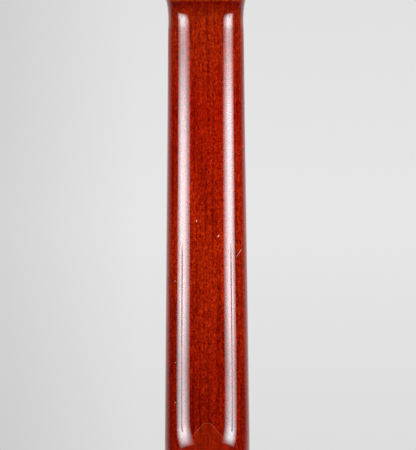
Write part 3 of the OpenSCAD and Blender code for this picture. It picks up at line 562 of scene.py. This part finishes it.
sides = {}
for node, turn in (("side_treble", lambda p: p), ("side_bass", flipped)):
    sides[node] = strip(node + "_wood", turn(half_outline(0)), turn(half_outline(SIDE_T)),
                        TOP_Y + TOP_T, BACK_Y - TOP_T)
edges = {}
for node, y0, y1 in (("binding_front", TOP_Y, TOP_Y + TOP_T), ("binding_back", BACK_Y - TOP_T, BACK_Y)):
    halves = [strip(node + "_strip", turn(half_outline(0)), turn(half_outline(BINDING_W)), y0, y1,
                    BINDING_ROUNDING)
              for turn in (lambda p: p, flipped)]
    only(halves[0])
    halves[1].select_set(True)
    bpy.ops.object.join()
    edges[node] = halves[0]
for piece, node, slot_name in ((soundboard, "soundboard", "spruce"), (back, "back_plate", "mahogany_sides"),
                               (sides["side_treble"], "side_treble", "mahogany_sides"),
                               (sides["side_bass"], "side_bass", "mahogany_sides"),
                               (edges["binding_front"], "binding_front", "binding"),
                               (edges["binding_back"], "binding_back", "binding")):
    smooth(piece, 30)
    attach(piece, "root")
    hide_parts(node)
print("side faces", len(sides["side_bass"].data.polygons))

# %% [markdown]
# ## Materials
# Each finish is made from the same few nodes: object coordinates stretched along the grain, noise for
# colour and pores, and a principled shader whose coat is the lacquer.

# %% Node helpers
class Recipe:
    """A new material with short names for its usual nodes."""

    def __init__(self, name):
        self.material = bpy.data.materials.new(name)
        self.material.use_nodes = True
        self.tree = self.material.node_tree
        self.shader = self.tree.nodes["Principled BSDF"]
        self.place = self.node("ShaderNodeTexCoord").outputs["Object"]

    def node(self, kind, **values):
        made = self.tree.nodes.new(kind)
        for key, value in values.items():
            if hasattr(made, key):
                setattr(made, key, value)
            else:
                made.inputs[key.replace("_", " ")].default_value = value
        return made

    def link(self, source, target):
        self.tree.links.new(source, target)

    def feed(self, socket, value):
        """Links another node's result to a socket, or sets the socket to a colour or a number."""
        if isinstance(value, bpy.types.NodeSocket):
            self.link(value, socket)
        else:
            socket.default_value = (*value, 1) if isinstance(value, tuple) else value

    def stretch(self, scale):
        made = self.node("ShaderNodeMapping", Scale=scale)
        self.link(self.place, made.inputs["Vector"])
        return made.outputs["Vector"]

    def noise(self, scale, detail, rough, distortion=0.0):
        made = self.node("ShaderNodeTexNoise", Scale=1.0, Detail=detail, Roughness=rough,
                         Distortion=distortion)
        self.link(self.stretch(scale), made.inputs["Vector"])
        return made.outputs["Fac"]

    def ramp(self, source, *stops):
        made = self.node("ShaderNodeValToRGB")
        band = made.color_ramp
        while len(band.elements) < len(stops):
            band.elements.new(0.5)
        for element, (at, colour) in zip(band.elements, stops):
            element.position = at
            element.color = (*colour, 1)
        self.link(source, made.inputs["Fac"])
        return made.outputs["Color"]

    def blend(self, amount, low, high, way="MIX"):
        made = self.node("ShaderNodeMix", data_type="RGBA", blend_type=way)
        for number, value in ((0, amount), (6, low), (7, high)):
            self.feed(made.inputs[number], value)
        return made.outputs[2]

    def multiply(self, base, layer, amount=1.0):
        return self.blend(amount, base, layer, "MULTIPLY")

    def maths(self, way, a, b=0.0):
        made = self.node("ShaderNodeMath", operation=way)
        for socket, value in zip(made.inputs, (a, b)):
            self.feed(socket, value)
        return made.outputs[0]

    def run(self, source, *stops):
        """Follows the source through pairs of (source, colour) or of (source, number from 0 to 1)."""
        low, high = stops[0][0], stops[-1][0]
        shares = (((at - low) / (high - low), v if isinstance(v, tuple) else (v, v, v)) for at, v in stops)
        return self.ramp(self.grey(source, 0.0, 1.0, low, high), *shares)

    def axes(self):
        split = self.node("ShaderNodeSeparateXYZ")
        self.link(self.place, split.inputs[0])
        return split.outputs["X"], split.outputs["Y"], split.outputs["Z"]

    def set(self, **values):
        for key, value in values.items():
            self.feed(self.shader.inputs[key.replace("_", " ")], value)

    def bump(self, height, strength, distance):
        made = self.node("ShaderNodeBump", Strength=strength, Distance=distance)
        self.link(height, made.inputs["Height"])
        self.link(made.outputs["Normal"], self.shader.inputs["Normal"])

    def grey(self, source, low, high, start=0.0, end=1.0):
        """A number that runs from low to high as the source runs from start to end."""
        made = self.node("ShaderNodeMapRange", From_Min=start, From_Max=end, To_Min=low, To_Max=high)
        self.link(source, made.inputs["Value"])
        return made.outputs["Result"]


def srgb(r, g, b):
    """An sRGB colour of 0 to 255 as the linear numbers that a shader takes."""
    return tuple((c / 255 / 12.92) if c <= 10 else ((c / 255 + 0.055) / 1.055) ** 2.4 for c in (r, g, b))


def dress(thing, recipe):
    target = frame["nodes"][thing] if isinstance(thing, str) else thing
    target.data.materials.clear()
    target.data.materials.append(recipe.material)


# %% [markdown]
# ## Cherry-red mahogany
# The neck is mahogany under a red stain and thick gloss lacquer. Near its surface the photograph shows
# short dark pores that run up the neck, orange flecks between them and faint cross ripples. The wood keeps
# its own colour, except for painted shade on the head just past the nut, and the lacquer does the
# reflections.

# %% Mahogany
def mahogany(name, tones, flecks=1.0, shift=0.0, lacquer=None):
    """Stained mahogany; tones are pairs of (height, colour) up the piece, in metres."""
    r = Recipe(name)
    base = r.run(r.axes()[2], *tones)
    broad = r.noise((60 + shift, 60, 12), 3, 0.55)
    curl = r.noise((1000, 1000, 520), 3, 0.65, 0.9)
    fine = r.noise((2300, 2300, 900), 2, 0.6)
    streak = r.noise((620, 620, 14), 3, 0.6)
    ripple = r.noise((160, 160, 1300), 2, 0.5)
    shade = r.ramp(curl, (0.30, (0.36, 0.10, 0.10)), (0.42, (0.76, 0.50, 0.6)), (0.52, (1, 1, 1)),
                   (0.62, (1.32, 1.9, 1.2)), (0.74, (1.75, 3.4, 1.5)))
    pores = r.ramp(fine, (0.36, (0.6, 0.4, 0.5)), (0.52, (1, 1, 1)))
    for layer in (shade, pores):
        base = r.blend(flecks, base, r.multiply(base, layer))
    base = r.multiply(base, r.ramp(streak, (0.34, (0.62, 0.50, 0.60)), (0.56, (1.07, 1.07, 1.05))))
    base = r.multiply(base, r.ramp(broad, (0.32, (0.84, 0.72, 0.80)), (0.68, (1.10, 1.22, 1.10))))
    base = r.multiply(base, r.ramp(ripple, (0.38, (0.84, 0.8, 0.8)), (0.6, (1.08, 1.1, 1.1))), 0.6)
    r.set(Base_Color=base, Roughness=0.45, Specular_IOR_Level=0.0,
          Coat_Weight=1.0, Coat_Roughness=0.03, Coat_IOR=1.55)
    if lacquer:
        r.set(Coat_Weight=r.run(r.axes()[2], *lacquer))
    return r


def below_nut(distance, red, green, blue):
    """A tone of the stain, or of painted shade, at a distance in millimetres down the neck from the nut."""
    return NUT_Z - distance * MM, srgb(red, green, blue)


neck_tones = [below_nut(247, 146, 22, 3), below_nut(130, 168, 34, 4), below_nut(60, 164, 24, 3),
              below_nut(7, 166, 40, 7)]
heel_tones = [below_nut(278, 134, 20, 3), below_nut(235, 150, 30, 5)]
# Just past the nut the head's back tilts away from the lamps: its darker tone there is painted shade, and
# past that the tone turns lighter and more orange.
head_tones_with_painted_shade = [below_nut(4.5, 158, 38, 6), below_nut(-3.4, 126, 14, 2), below_nut(-4.5, 168, 52, 6),
              below_nut(-30, 150, 28, 4)]
# The playing hand has thinned the lacquer in one place just below the nut.
worn_lacquer = [(NUT_Z - distance * MM, weight)
                for distance, weight in ((60, 1), (20, 0.6), (12, 0.6), (9, 1))]
glue_finish = Recipe("squeezed_glue")
glue_cloud = glue_finish.noise((900, 900, 900), 2, 0.5)
glue_colour = glue_finish.ramp(glue_cloud, (0.3, srgb(158, 56, 24)), (0.7, srgb(188, 88, 52)))
glue_finish.set(Base_Color=glue_colour, Roughness=0.3)
neck_wood = mahogany("neck_mahogany", neck_tones, lacquer=worn_lacquer)
heel_wood = mahogany("heel_mahogany", heel_tones, 0.25, 5)
head_wood_with_painted_shade = mahogany("head_mahogany_painted_shade", head_tones_with_painted_shade, 0.8, 9)
dress(shaft, neck_wood)
dress(heel, heel_wood)
dress(glue_line, glue_finish)
dress(head, head_wood_with_painted_shade)
print("mahogany made")

# %% [markdown]
# ## Marks of use
# The lacquer has one fine scratch and a few tiny chips that show pale. Each is a sliver or a flake laid
# on the finished wood, at the place where the ray through its image point meets the wood.

# %% Marks
def skin(*things):
    """One search tree over several finished pieces."""
    corners, faces = [], []
    for thing in things:
        start = len(corners)
        corners += [thing.matrix_world @ v.co for v in thing.data.vertices]
        faces += [[start + n for n in face.vertices] for face in thing.data.polygons]
    return BVHTree.FromPolygons(corners, faces)


def flake(name, point, width, length, lean):
    """A thin pale lens lying on the wood; its length leans to the picture's right by some degrees."""
    place, normal = at_image(*POINTS[point], neck_skin)
    bpy.ops.object.select_all(action="DESELECT")
    bpy.ops.mesh.primitive_uv_sphere_add(segments=FLAKE_SEGMENTS, ring_count=FLAKE_RINGS, radius=1)
    piece = bpy.context.object
    piece.name = name
    out = normal if normal.y > 0 else -normal
    up = (Vector((0, 0, 1)) - out * out.z).normalized()
    across = up.cross(out)
    turn = math.radians(lean)
    along = up * math.cos(turn) + across * math.sin(turn)
    axes = Matrix((across * math.cos(turn) - up * math.sin(turn), along, out)).transposed()
    scale = Matrix.Diagonal((width * MM / 2, length * MM / 2, FLAKE_THICK))
    piece.matrix_world = Matrix.Translation(place) @ (axes @ scale).to_4x4()
    settle(piece)
    outward(piece)
    smooth(piece, 60)
    dress(piece, chip_finish)
    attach(piece, "root")
    shown_at[point] = piece


FLAKE_THICK = 0.02 * MM
FLAKE_SEGMENTS, FLAKE_RINGS = 20, 8
shown_at = {}
neck_skin = skin(shaft, heel, head)
chip_finish = Recipe("chipped_lacquer")
chip_finish.set(Base_Color=srgb(222, 172, 158), Roughness=0.5)
for name, point, width, length, lean in (
        ("scratch_mark", "scratch", 0.26, 6.6, 42),
        ("chip_mark_1", "chip_upper", 0.75, 0.95, 0),
        ("chip_mark_2", "chip_centre", 0.6, 1.4, 20),
        ("chip_mark_3", "chip_left", 0.6, 0.7, 0),
        ("chip_mark_4", "chip_low_left", 0.55, 0.6, 0),
        ("chip_mark_5", "chip_lowest", 0.5, 0.6, 0)):
    flake(name, point, width, length, lean)
print("marks laid:", len(shown_at))

# %% [markdown]
# ## Other woods
# Spruce has fine straight lines about a millimetre apart, darker where each year's growth ends.
# Rosewood is dark brown with nearly black streaks and open pores, and is oiled and not lacquered.
# The sides and back are the neck's mahogany; the wood inside the body is left bare.

# %% Wood finishes
# How fast the growth lines' sine runs across the board, in radians for each metre.
GROWTH_RATE, GROWTH_WANDER = 5200.0, 16.0
body_wood = mahogany("body_mahogany", [(TAIL_Z, srgb(150, 30, 6)), (JOINT_Z, srgb(158, 34, 6))], 0.6, 11)


def spruce():
    r = Recipe("amber_spruce")
    wander = r.noise((18, 18, 2.2), 2, 0.4)
    line = r.maths("MULTIPLY", r.axes()[0], GROWTH_RATE)
    line = r.maths("ADD", line, r.maths("MULTIPLY", wander, GROWTH_WANDER))
    wave = r.maths("SINE", line)
    growth = r.grey(wave, 0.0, 1.0)
    base = r.ramp(growth, (0.0, srgb(222, 172, 104)), (0.62, srgb(212, 156, 86)), (1.0, srgb(176, 116, 56)))
    broad = r.noise((30, 30, 5), 3, 0.5)
    base = r.multiply(base, r.ramp(broad, (0.3, (0.86, 0.84, 0.82)), (0.7, (1.05, 1.05, 1.05))))
    silk = r.noise((70, 70, 500), 2, 0.5)
    base = r.multiply(base, r.ramp(silk, (0.4, (0.9, 0.9, 0.9)), (0.6, (1.1, 1.1, 1.1))), 0.5)
    r.set(Base_Color=base, Roughness=0.38, Coat_Weight=0.8, Coat_Roughness=0.06, Coat_IOR=1.5)
    return r


def dark_wood(name, light, dark, roughness, coat):
    r = Recipe(name)
    streak = r.noise((260, 260, 9), 4, 0.6, 0.4)
    pores = r.noise((2200, 2200, 150), 2, 0.5)
    base = r.ramp(streak, (0.32, dark), (0.62, light))
    base = r.multiply(base, r.ramp(pores, (0.32, (0.35, 0.35, 0.35)), (0.42, (1, 1, 1))))
    r.set(Base_Color=base, Roughness=roughness, Coat_Weight=coat, Coat_Roughness=0.08)
    r.bump(pores, 0.25, 0.0002)
    return r


def bare_wood():
    r = Recipe("bare_inner_wood")
    grain = r.noise((300, 300, 12), 4, 0.6)
    base = r.ramp(grain, (0.3, srgb(196, 158, 110)), (0.7, srgb(218, 184, 136)))
    r.set(Base_Color=base, Roughness=0.75)
    return r


top_wood = spruce()
rosewood = dark_wood("rosewood", srgb(92, 54, 36), srgb(40, 22, 15), 0.45, 0.0)
edging_wood = dark_wood("dark_edging", srgb(60, 32, 22), srgb(30, 15, 10), 0.3, 0.8)
plain_wood = bare_wood()

# %% [markdown]
# ## Metal, bone and plastic
# The tuners are nickel plate with brass gears: smooth, with faint rubbing marks in the roughness.
# Nut and saddle are bone, slightly yellow and cloudy; the buttons and dots are pearl-like plastic.

# %% Metal, bone and plastic finishes
def metal(name, colour, worn, roughness, marks):
    r = Recipe(name)
    cloud = r.noise((400, 400, 400), 3, 0.6)
    rub = r.noise(marks, 2, 0.5)
    base = r.ramp(cloud, (0.35, worn), (0.6, colour))
    r.set(Base_Color=base, Roughness=r.grey(rub, roughness * 0.6, roughness * 1.5), Metallic=1.0)
    return r


def bone(name, light, dark, scale, roughness, sheen_coat):
    r = Recipe(name)
    cloud = r.noise((scale, scale, scale / 3), 4, 0.6, 0.5)
    base = r.ramp(cloud, (0.3, dark), (0.65, light))
    r.set(Base_Color=base, Roughness=roughness, Coat_Weight=sheen_coat, Coat_Roughness=0.05,
          Subsurface_Weight=0.15, Subsurface_Scale=0.002)
    return r


nickel = metal("nickel_plate", (0.70, 0.69, 0.66), (0.60, 0.585, 0.55), 0.22, (900, 900, 60))
plain_steel = metal("plain_steel", (0.62, 0.62, 0.63), (0.50, 0.50, 0.51), 0.30, (900, 900, 200))
fret_metal = metal("fret_wire", (0.72, 0.71, 0.67), (0.62, 0.61, 0.57), 0.24, (80, 900, 900))
brass = metal("gear_brass", (0.72, 0.50, 0.20), (0.55, 0.36, 0.13), 0.34, (700, 700, 700))
bone_white = bone("polished_bone", srgb(240, 232, 210), srgb(222, 210, 182), 300, 0.35, 0.3)
pearl = bone("pearl_dot", srgb(232, 234, 230), srgb(198, 206, 204), 500, 0.2, 0.8)
button_plastic = bone("button_plastic", srgb(238, 230, 208), srgb(220, 206, 176), 140, 0.3, 0.8)


def wound_wire():
    """Bronze wire wound round a core: fine rings along the string."""
    r = metal("wound_bronze", (0.62, 0.44, 0.24), (0.48, 0.32, 0.16), 0.32, (900, 900, 900))
    rings = r.node("ShaderNodeTexWave", Scale=1.0, wave_type="BANDS", bands_direction="Z")
    r.link(r.stretch((1, 1, 900)), rings.inputs["Vector"])
    r.bump(rings.outputs["Fac"], 0.4, 0.00006)
    return r


string_steel = metal("string_steel", (0.66, 0.66, 0.67), (0.56, 0.56, 0.57), 0.22, (900, 900, 40))
string_wound = wound_wire()

# %% [markdown]
# ## CAD pieces with softened edges
# No real edge is perfectly sharp. Each hard piece is copied from the frame, its doubled points are
# merged and flat faces joined, and a small bevel is put on its edges, so that they catch the light.

# %% Softened copies
FLAT_ANGLE = math.radians(0.5)
BASS_TUNER = 3


def softened(node, body, recipe, slot_name, width=0.0, angle=35):
    source = frame["nodes"][node]
    piece = bpy.data.objects.new(node + "_finished", source.data.copy())
    bpy.context.collection.objects.link(piece)
    only(piece)
    bpy.ops.object.mode_set(mode="EDIT")
    bpy.ops.mesh.select_all(action="SELECT")
    bpy.ops.mesh.remove_doubles(threshold=WELD)
    bpy.ops.mesh.dissolve_limited(angle_limit=FLAT_ANGLE)
    bpy.ops.object.mode_set(mode="OBJECT")
    if width:
        bevel(piece, width, angle=angle)
        finish_modifiers(piece)
    smooth(piece, angle)
    dress(piece, recipe)
    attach(piece, body)
    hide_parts(node)


for node, recipe, slot_name, width in (
        ("fretboard", rosewood, "rosewood", 0.0), ("fretboard_riser", body_wood, "riser_wood", 0.6),
        ("headstock_overlay", rosewood, "rosewood", 0.4), ("nut", bone_white, "bone", 0.0),
        ("saddle", bone_white, "bone", 0.0), ("tail_strip", bone_white, "bone", 0.5),
        ("end_pin", edging_wood, "pin_wood", 0.3), ("frets", fret_metal, "fret_wire", 0.0),
        ("position_dots", pearl, "pearl", 0.0), ("hitch_pins", plain_steel, "steel", 0.1),
        ("tuner_bushings", nickel, "nickel", 0.2), ("tuner_screws", nickel, "nickel", 0.2)):
    softened(node, "root", recipe, slot_name, width * MM)
for node in ("string_melody_outer", "string_melody_inner", "string_middle"):
    softened(node, "root", string_steel, "string_steel", angle=60)
softened("string_bass", "root", string_wound, "string_wound", angle=60)
for i in TUNERS:
    winding = (string_wound, "string_wound") if i == BASS_TUNER else (string_steel, "string_steel")
    softened(f"tuner_plate_{i}", "root", nickel, "nickel", 0.2 * MM)
    softened(f"tuner_worm_{i}", f"key_{i}", nickel, "nickel")
    softened(f"tuner_post_{i}", f"post_{i}", nickel, "nickel", 0.15 * MM)
    softened(f"tuner_gear_{i}", f"post_{i}", brass, "gear_brass", 0.08 * MM)
    softened(f"string_winding_{i}", f"post_{i}", *winding, angle=60)
for node in ("linings_front", "linings_back", "neck_block", "tail_block", "top_braces", "back_braces"):
    dress(node, plain_wood)
for node in ("neck_bolts", "neck_bar"):
    dress(node, plain_steel)
dress(soundboard, top_wood)
dress(cap, rosewood)
for piece in (back, sides["side_treble"], sides["side_bass"]):
    dress(piece, body_wood)
for piece in edges.values():
    dress(piece, edging_wood)
print("softened copies made")

# %% [markdown]
# ## Tuner buttons
# A button is a moulded oval on a short collar. It is lofted along its shaft: each section is a rounded
# oval, narrow at the collar, widest in the middle and closing at the end, thicker in its centre.

# %% Buttons
BUTTON_STEPS, BUTTON_SIDES, BUTTON_POWER = 40, 40, 0.85
BUTTON_HALF_W, BUTTON_HALF_T, COLLAR_R, WAIST_R = 7 * MM, 3.2 * MM, 2.9 * MM, 2.3 * MM
# Shares of the button's length: where its loft starts and how long it is, and the collar and its rim.
LOFT_START, LOFT_RUN, COLLAR_LEN, BLADE_LEN, RIM_LEN, RIM_LOSS = 0.012, 0.976, 0.22, 0.78, 0.02, 0.25
# The blade's fulness in width and in thickness, and how its end closes.
FULL_W, FULL_T, CLOSE_FROM, CLOSE_LEN, END_LEFT = 0.62, 0.8, 0.86, 0.14, 0.05


def button_section(t):
    """Half the width and half the thickness of a button at a share of its length."""
    if t < COLLAR_LEN:
        r = mix(COLLAR_R, WAIST_R, ease(t / COLLAR_LEN)) * (1 - RIM_LOSS * (1 - min(1, t / RIM_LEN)))
        return r, r
    u = (t - COLLAR_LEN) / BLADE_LEN
    swell = math.sin(math.pi * u)
    w = WAIST_R + (BUTTON_HALF_W - WAIST_R) * swell ** FULL_W
    t_r = WAIST_R + (BUTTON_HALF_T - WAIST_R) * swell ** FULL_T
    if u > CLOSE_FROM:
        close = max(END_LEFT, math.sqrt(max(0.0, 1 - ((u - CLOSE_FROM) / CLOSE_LEN) ** 2)))
        w, t_r = w * close, t_r * close
    return w, t_r


def squared(value):
    return math.copysign(abs(value) ** BUTTON_POWER, value)


def button(i):
    low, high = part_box(f"tuner_button_{i}")
    side = 1 if low.x > 0 else -1
    start = low.x if side > 0 else high.x
    joint = next(j for j in frame["joints"] if j["name"] == f"key_turn_{i}")
    axis = Vector(joint["pos_m"])
    up = Vector((0, math.sin(TILT), math.cos(TILT)))
    out = Vector((0, math.cos(TILT), -math.sin(TILT)))
    length = high.x - low.x
    rings = []
    for k in range(BUTTON_STEPS + 1):
        t = k / BUTTON_STEPS
        along = length * (LOFT_START + LOFT_RUN * t)
        spot = Vector((start + side * along, axis.y, axis.z))
        w, t_r = button_section(t)
        angles = (2 * math.pi * n / BUTTON_SIDES for n in range(BUTTON_SIDES))
        rings.append([spot + up * (w * squared(math.cos(a))) + out * (t_r * squared(math.sin(a)))
                      for a in angles])
    piece = loft(f"button_{i}", rings)
    smooth(piece, 60)
    dress(piece, button_plastic)
    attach(piece, f"key_{i}")
    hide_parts(f"tuner_button_{i}")


for i in TUNERS:
    button(i)
print("buttons made")

# %% [markdown]
# ## Backdrop
# The photograph's backdrop is a pale grey paper, a little darker at the left, the top and the bottom.
# The world shows it to the camera alone. Reflections see a dark room on the photographer's side and
# the pale paper behind the neck, and diffuse light is soft and even all round.

# %% World
scene = bpy.context.scene
scene.view_settings.view_transform = "Standard"


def grey_level(value):
    return srgb(value, value, value)[0]


class Backdrop(Recipe):
    """The same short names for a world, where the place is the direction of a ray."""

    def __init__(self, name):
        self.world = bpy.data.worlds.new(name)
        self.world.use_nodes = True
        self.tree = self.world.node_tree
        self.shader = self.tree.nodes["Background"]
        self.place = self.node("ShaderNodeTexCoord").outputs["Generated"]


backdrop = Backdrop("studio")
scene.world = backdrop.world
across, depth, height = backdrop.axes()
sides = backdrop.run(across, (-0.058, grey_level(230)), (0.02, grey_level(230)), (0.057, grey_level(213)))
fall = backdrop.run(height, (-0.062, 0.92), (0, 1), (0.062, 0.96))
shown = backdrop.multiply(sides, fall)
room = backdrop.run(depth, (-1, 0.95), (-0.85, 0.9), (-0.5, 0.62), (-0.25, 0.1), (-0.1, 0.015), (1, 0.012))
steep = backdrop.run(backdrop.maths("ABSOLUTE", height), (0.62, 0), (0.85, 1))
room = backdrop.blend(steep, room, (0.5, 0.5, 0.5))
ray = backdrop.node("ShaderNodeLightPath").outputs
light = backdrop.blend(ray["Is Glossy Ray"], (0.44, 0.44, 0.451), room)
light = backdrop.blend(ray["Is Camera Ray"], light, shown)
backdrop.link(light, backdrop.shader.inputs["Color"])
print("backdrop made")

# %% [markdown]
# ## Lamps and soft boxes
# Four plain lamps give the even light. The two long bright lines on the neck are the mirror images of
# tall soft boxes behind the photographer's shoulders. They are bands of a cylinder round the neck, each
# full in its middle and fading to its edges, and a dark seam runs down its lower part.

# %% Lamps
CENTRE = Vector((0, -0.02, AIM.z))


def lamp(name, azimuth, elevation, distance, size, power):
    data = bpy.data.lights.new(name, "AREA")
    data.shape, data.size, data.size_y, data.energy = "RECTANGLE", size[0], size[1], power
    made = bpy.data.objects.new(name, data)
    bpy.context.collection.objects.link(made)
    a, e = math.radians(azimuth), math.radians(elevation)
    away = Vector((-math.sin(a) * math.cos(e), math.cos(a) * math.cos(e), math.sin(e)))
    made.location = CENTRE + away * distance
    made.rotation_euler = away.to_track_quat("Z", "Y").to_euler()
    made.visible_camera = False
    made.visible_glossy = False


lamp("key", -12, 35, 2.4, (1.2, 1.2), 24)
lamp("fill", 45, 25, 2.4, (1.2, 1.2), 22)
lamp("front_key", 150, 35, 2.6, (1.4, 1.4), 26)
lamp("front_fill", -140, 20, 2.6, (1.4, 1.4), 18)
print("lamps made")

# %% Soft boxes
BOX_FAR, BOX_SIDES, BOX_MARGIN = 1.5, 180, 12
BOX_GLOW, BOX_COLOUR = 18, (0.82, 0.96, 1.0)
PLATEAU = (0, 1, 1, 0)
SEAM_AT = math.radians(43.3)
SEAM_ACROSS, SEAM_UP, SEAM_DARK = (-0.05, -0.018, 0.018, 0.05), (-0.2, -0.07, -0.012, 0), 0.8


def only_in_reflections(panel, glow, colour):
    glow.set(Base_Color=(0, 0, 0), Emission_Color=colour, Specular_IOR_Level=0)
    panel.data.materials.append(glow.material)
    for flag in ("visible_camera", "visible_diffuse", "visible_transmission", "visible_shadow"):
        setattr(panel, flag, False)


def soft_box(name, side, over, up, lean):
    """A glowing band; over is in degrees and up in metres from the view's middle, each a start, the
    two ends of the full glow and an end. The band leans by some degrees for each metre up."""
    low, high = up[0], up[-1]
    bpy.ops.object.select_all(action="DESELECT")
    bpy.ops.mesh.primitive_cylinder_add(vertices=BOX_SIDES, radius=BOX_FAR, depth=high - low,
                                        end_fill_type="NOTHING",
                                        location=CENTRE + Vector((0, 0, (low + high) / 2)))
    panel = bpy.context.object
    panel.name = name
    settle(panel)
    bpy.ops.object.mode_set(mode="EDIT")
    shape = bmesh.from_edit_mesh(panel.data)
    for face in shape.faces:
        middle = face.calc_center_median()
        turn = math.degrees(math.atan2(side * middle.x, middle.y - CENTRE.y))
        face.select_set(not over[0] - BOX_MARGIN < turn < over[-1] + BOX_MARGIN)
    bpy.ops.mesh.delete(type="FACE")
    bpy.ops.object.mode_set(mode="OBJECT")
    r = Recipe(name + "_glow")
    x, y, z = r.axes()
    turn = r.maths("ARCTAN2", r.maths("MULTIPLY", x, float(side)), r.maths("SUBTRACT", y, CENTRE.y))
    rise = r.maths("SUBTRACT", z, CENTRE.z)
    turn = r.maths("ADD", turn, r.maths("MULTIPLY", rise, math.radians(lean)))
    sides = r.run(turn, *zip((math.radians(a) for a in over), PLATEAU))
    seam_line = r.run(turn, *((SEAM_AT + a, v) for a, v in zip(SEAM_ACROSS, PLATEAU)))
    seam_run = r.run(rise, *zip(SEAM_UP, PLATEAU))
    dark = r.maths("MULTIPLY", r.maths("MULTIPLY", seam_line, seam_run), SEAM_DARK)
    level = r.maths("MULTIPLY", sides, r.run(rise, *zip(up, PLATEAU)))
    level = r.maths("MULTIPLY", level, r.maths("SUBTRACT", 1.0, dark))
    r.set(Emission_Strength=r.maths("MULTIPLY", level, BOX_GLOW))
    only_in_reflections(panel, r, BOX_COLOUR)


soft_box("soft_box_left", 1, (22, 37, 47, 63), (-0.25, -0.06, 0.06, 0.5), 15)
soft_box("soft_box_right", -1, (23, 37, 45, 60), (-0.25, -0.06, 0.13, 0.42), 10)
print("soft boxes made")

# %% Floor
FLOOR_SIZE, FLOOR_Z = 12, -0.0005
bpy.ops.object.select_all(action="DESELECT")
bpy.ops.mesh.primitive_plane_add(size=FLOOR_SIZE, location=(0, 0, FLOOR_Z))
floor = bpy.context.object
floor.name = "floor"
settle(floor)
floor_paint = Recipe("pale_floor")
floor_paint.set(Base_Color=(0.78, 0.78, 0.79), Roughness=0.9)
floor.data.materials.append(floor_paint.material)
floor.visible_glossy = False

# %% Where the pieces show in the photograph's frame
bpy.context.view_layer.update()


def corners_in_view(thing):
    """Where the finished corners of a piece show in the photograph's frame."""
    return [to_image(thing.matrix_world @ v.co) for v in thing.data.vertices]


def edge_at(row, side):
    """The outermost x of the neck at a row; side is -1 for the left edge and 1 for the right one."""
    crossings = (xa + (xb - xa) * (row - ya) / (yb - ya) for (xa, ya), (xb, yb) in outline_lines
                 if min(ya, yb) <= row <= max(ya, yb) and ya != yb)
    return side * max(side * x for x in crossings)


outline_lines = []
for thing in (shaft, heel, head):
    spots = corners_in_view(thing)
    outline_lines += [(spots[a], spots[b]) for a, b in (edge.vertices for edge in thing.data.edges)]
for name, (x, y) in POINTS.items():
    if name in shown_at:
        spots = corners_in_view(shown_at[name])
    elif name == "glue_arch":
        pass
    else:
        edge_at(y, -1 if "left" in name else 1) - x
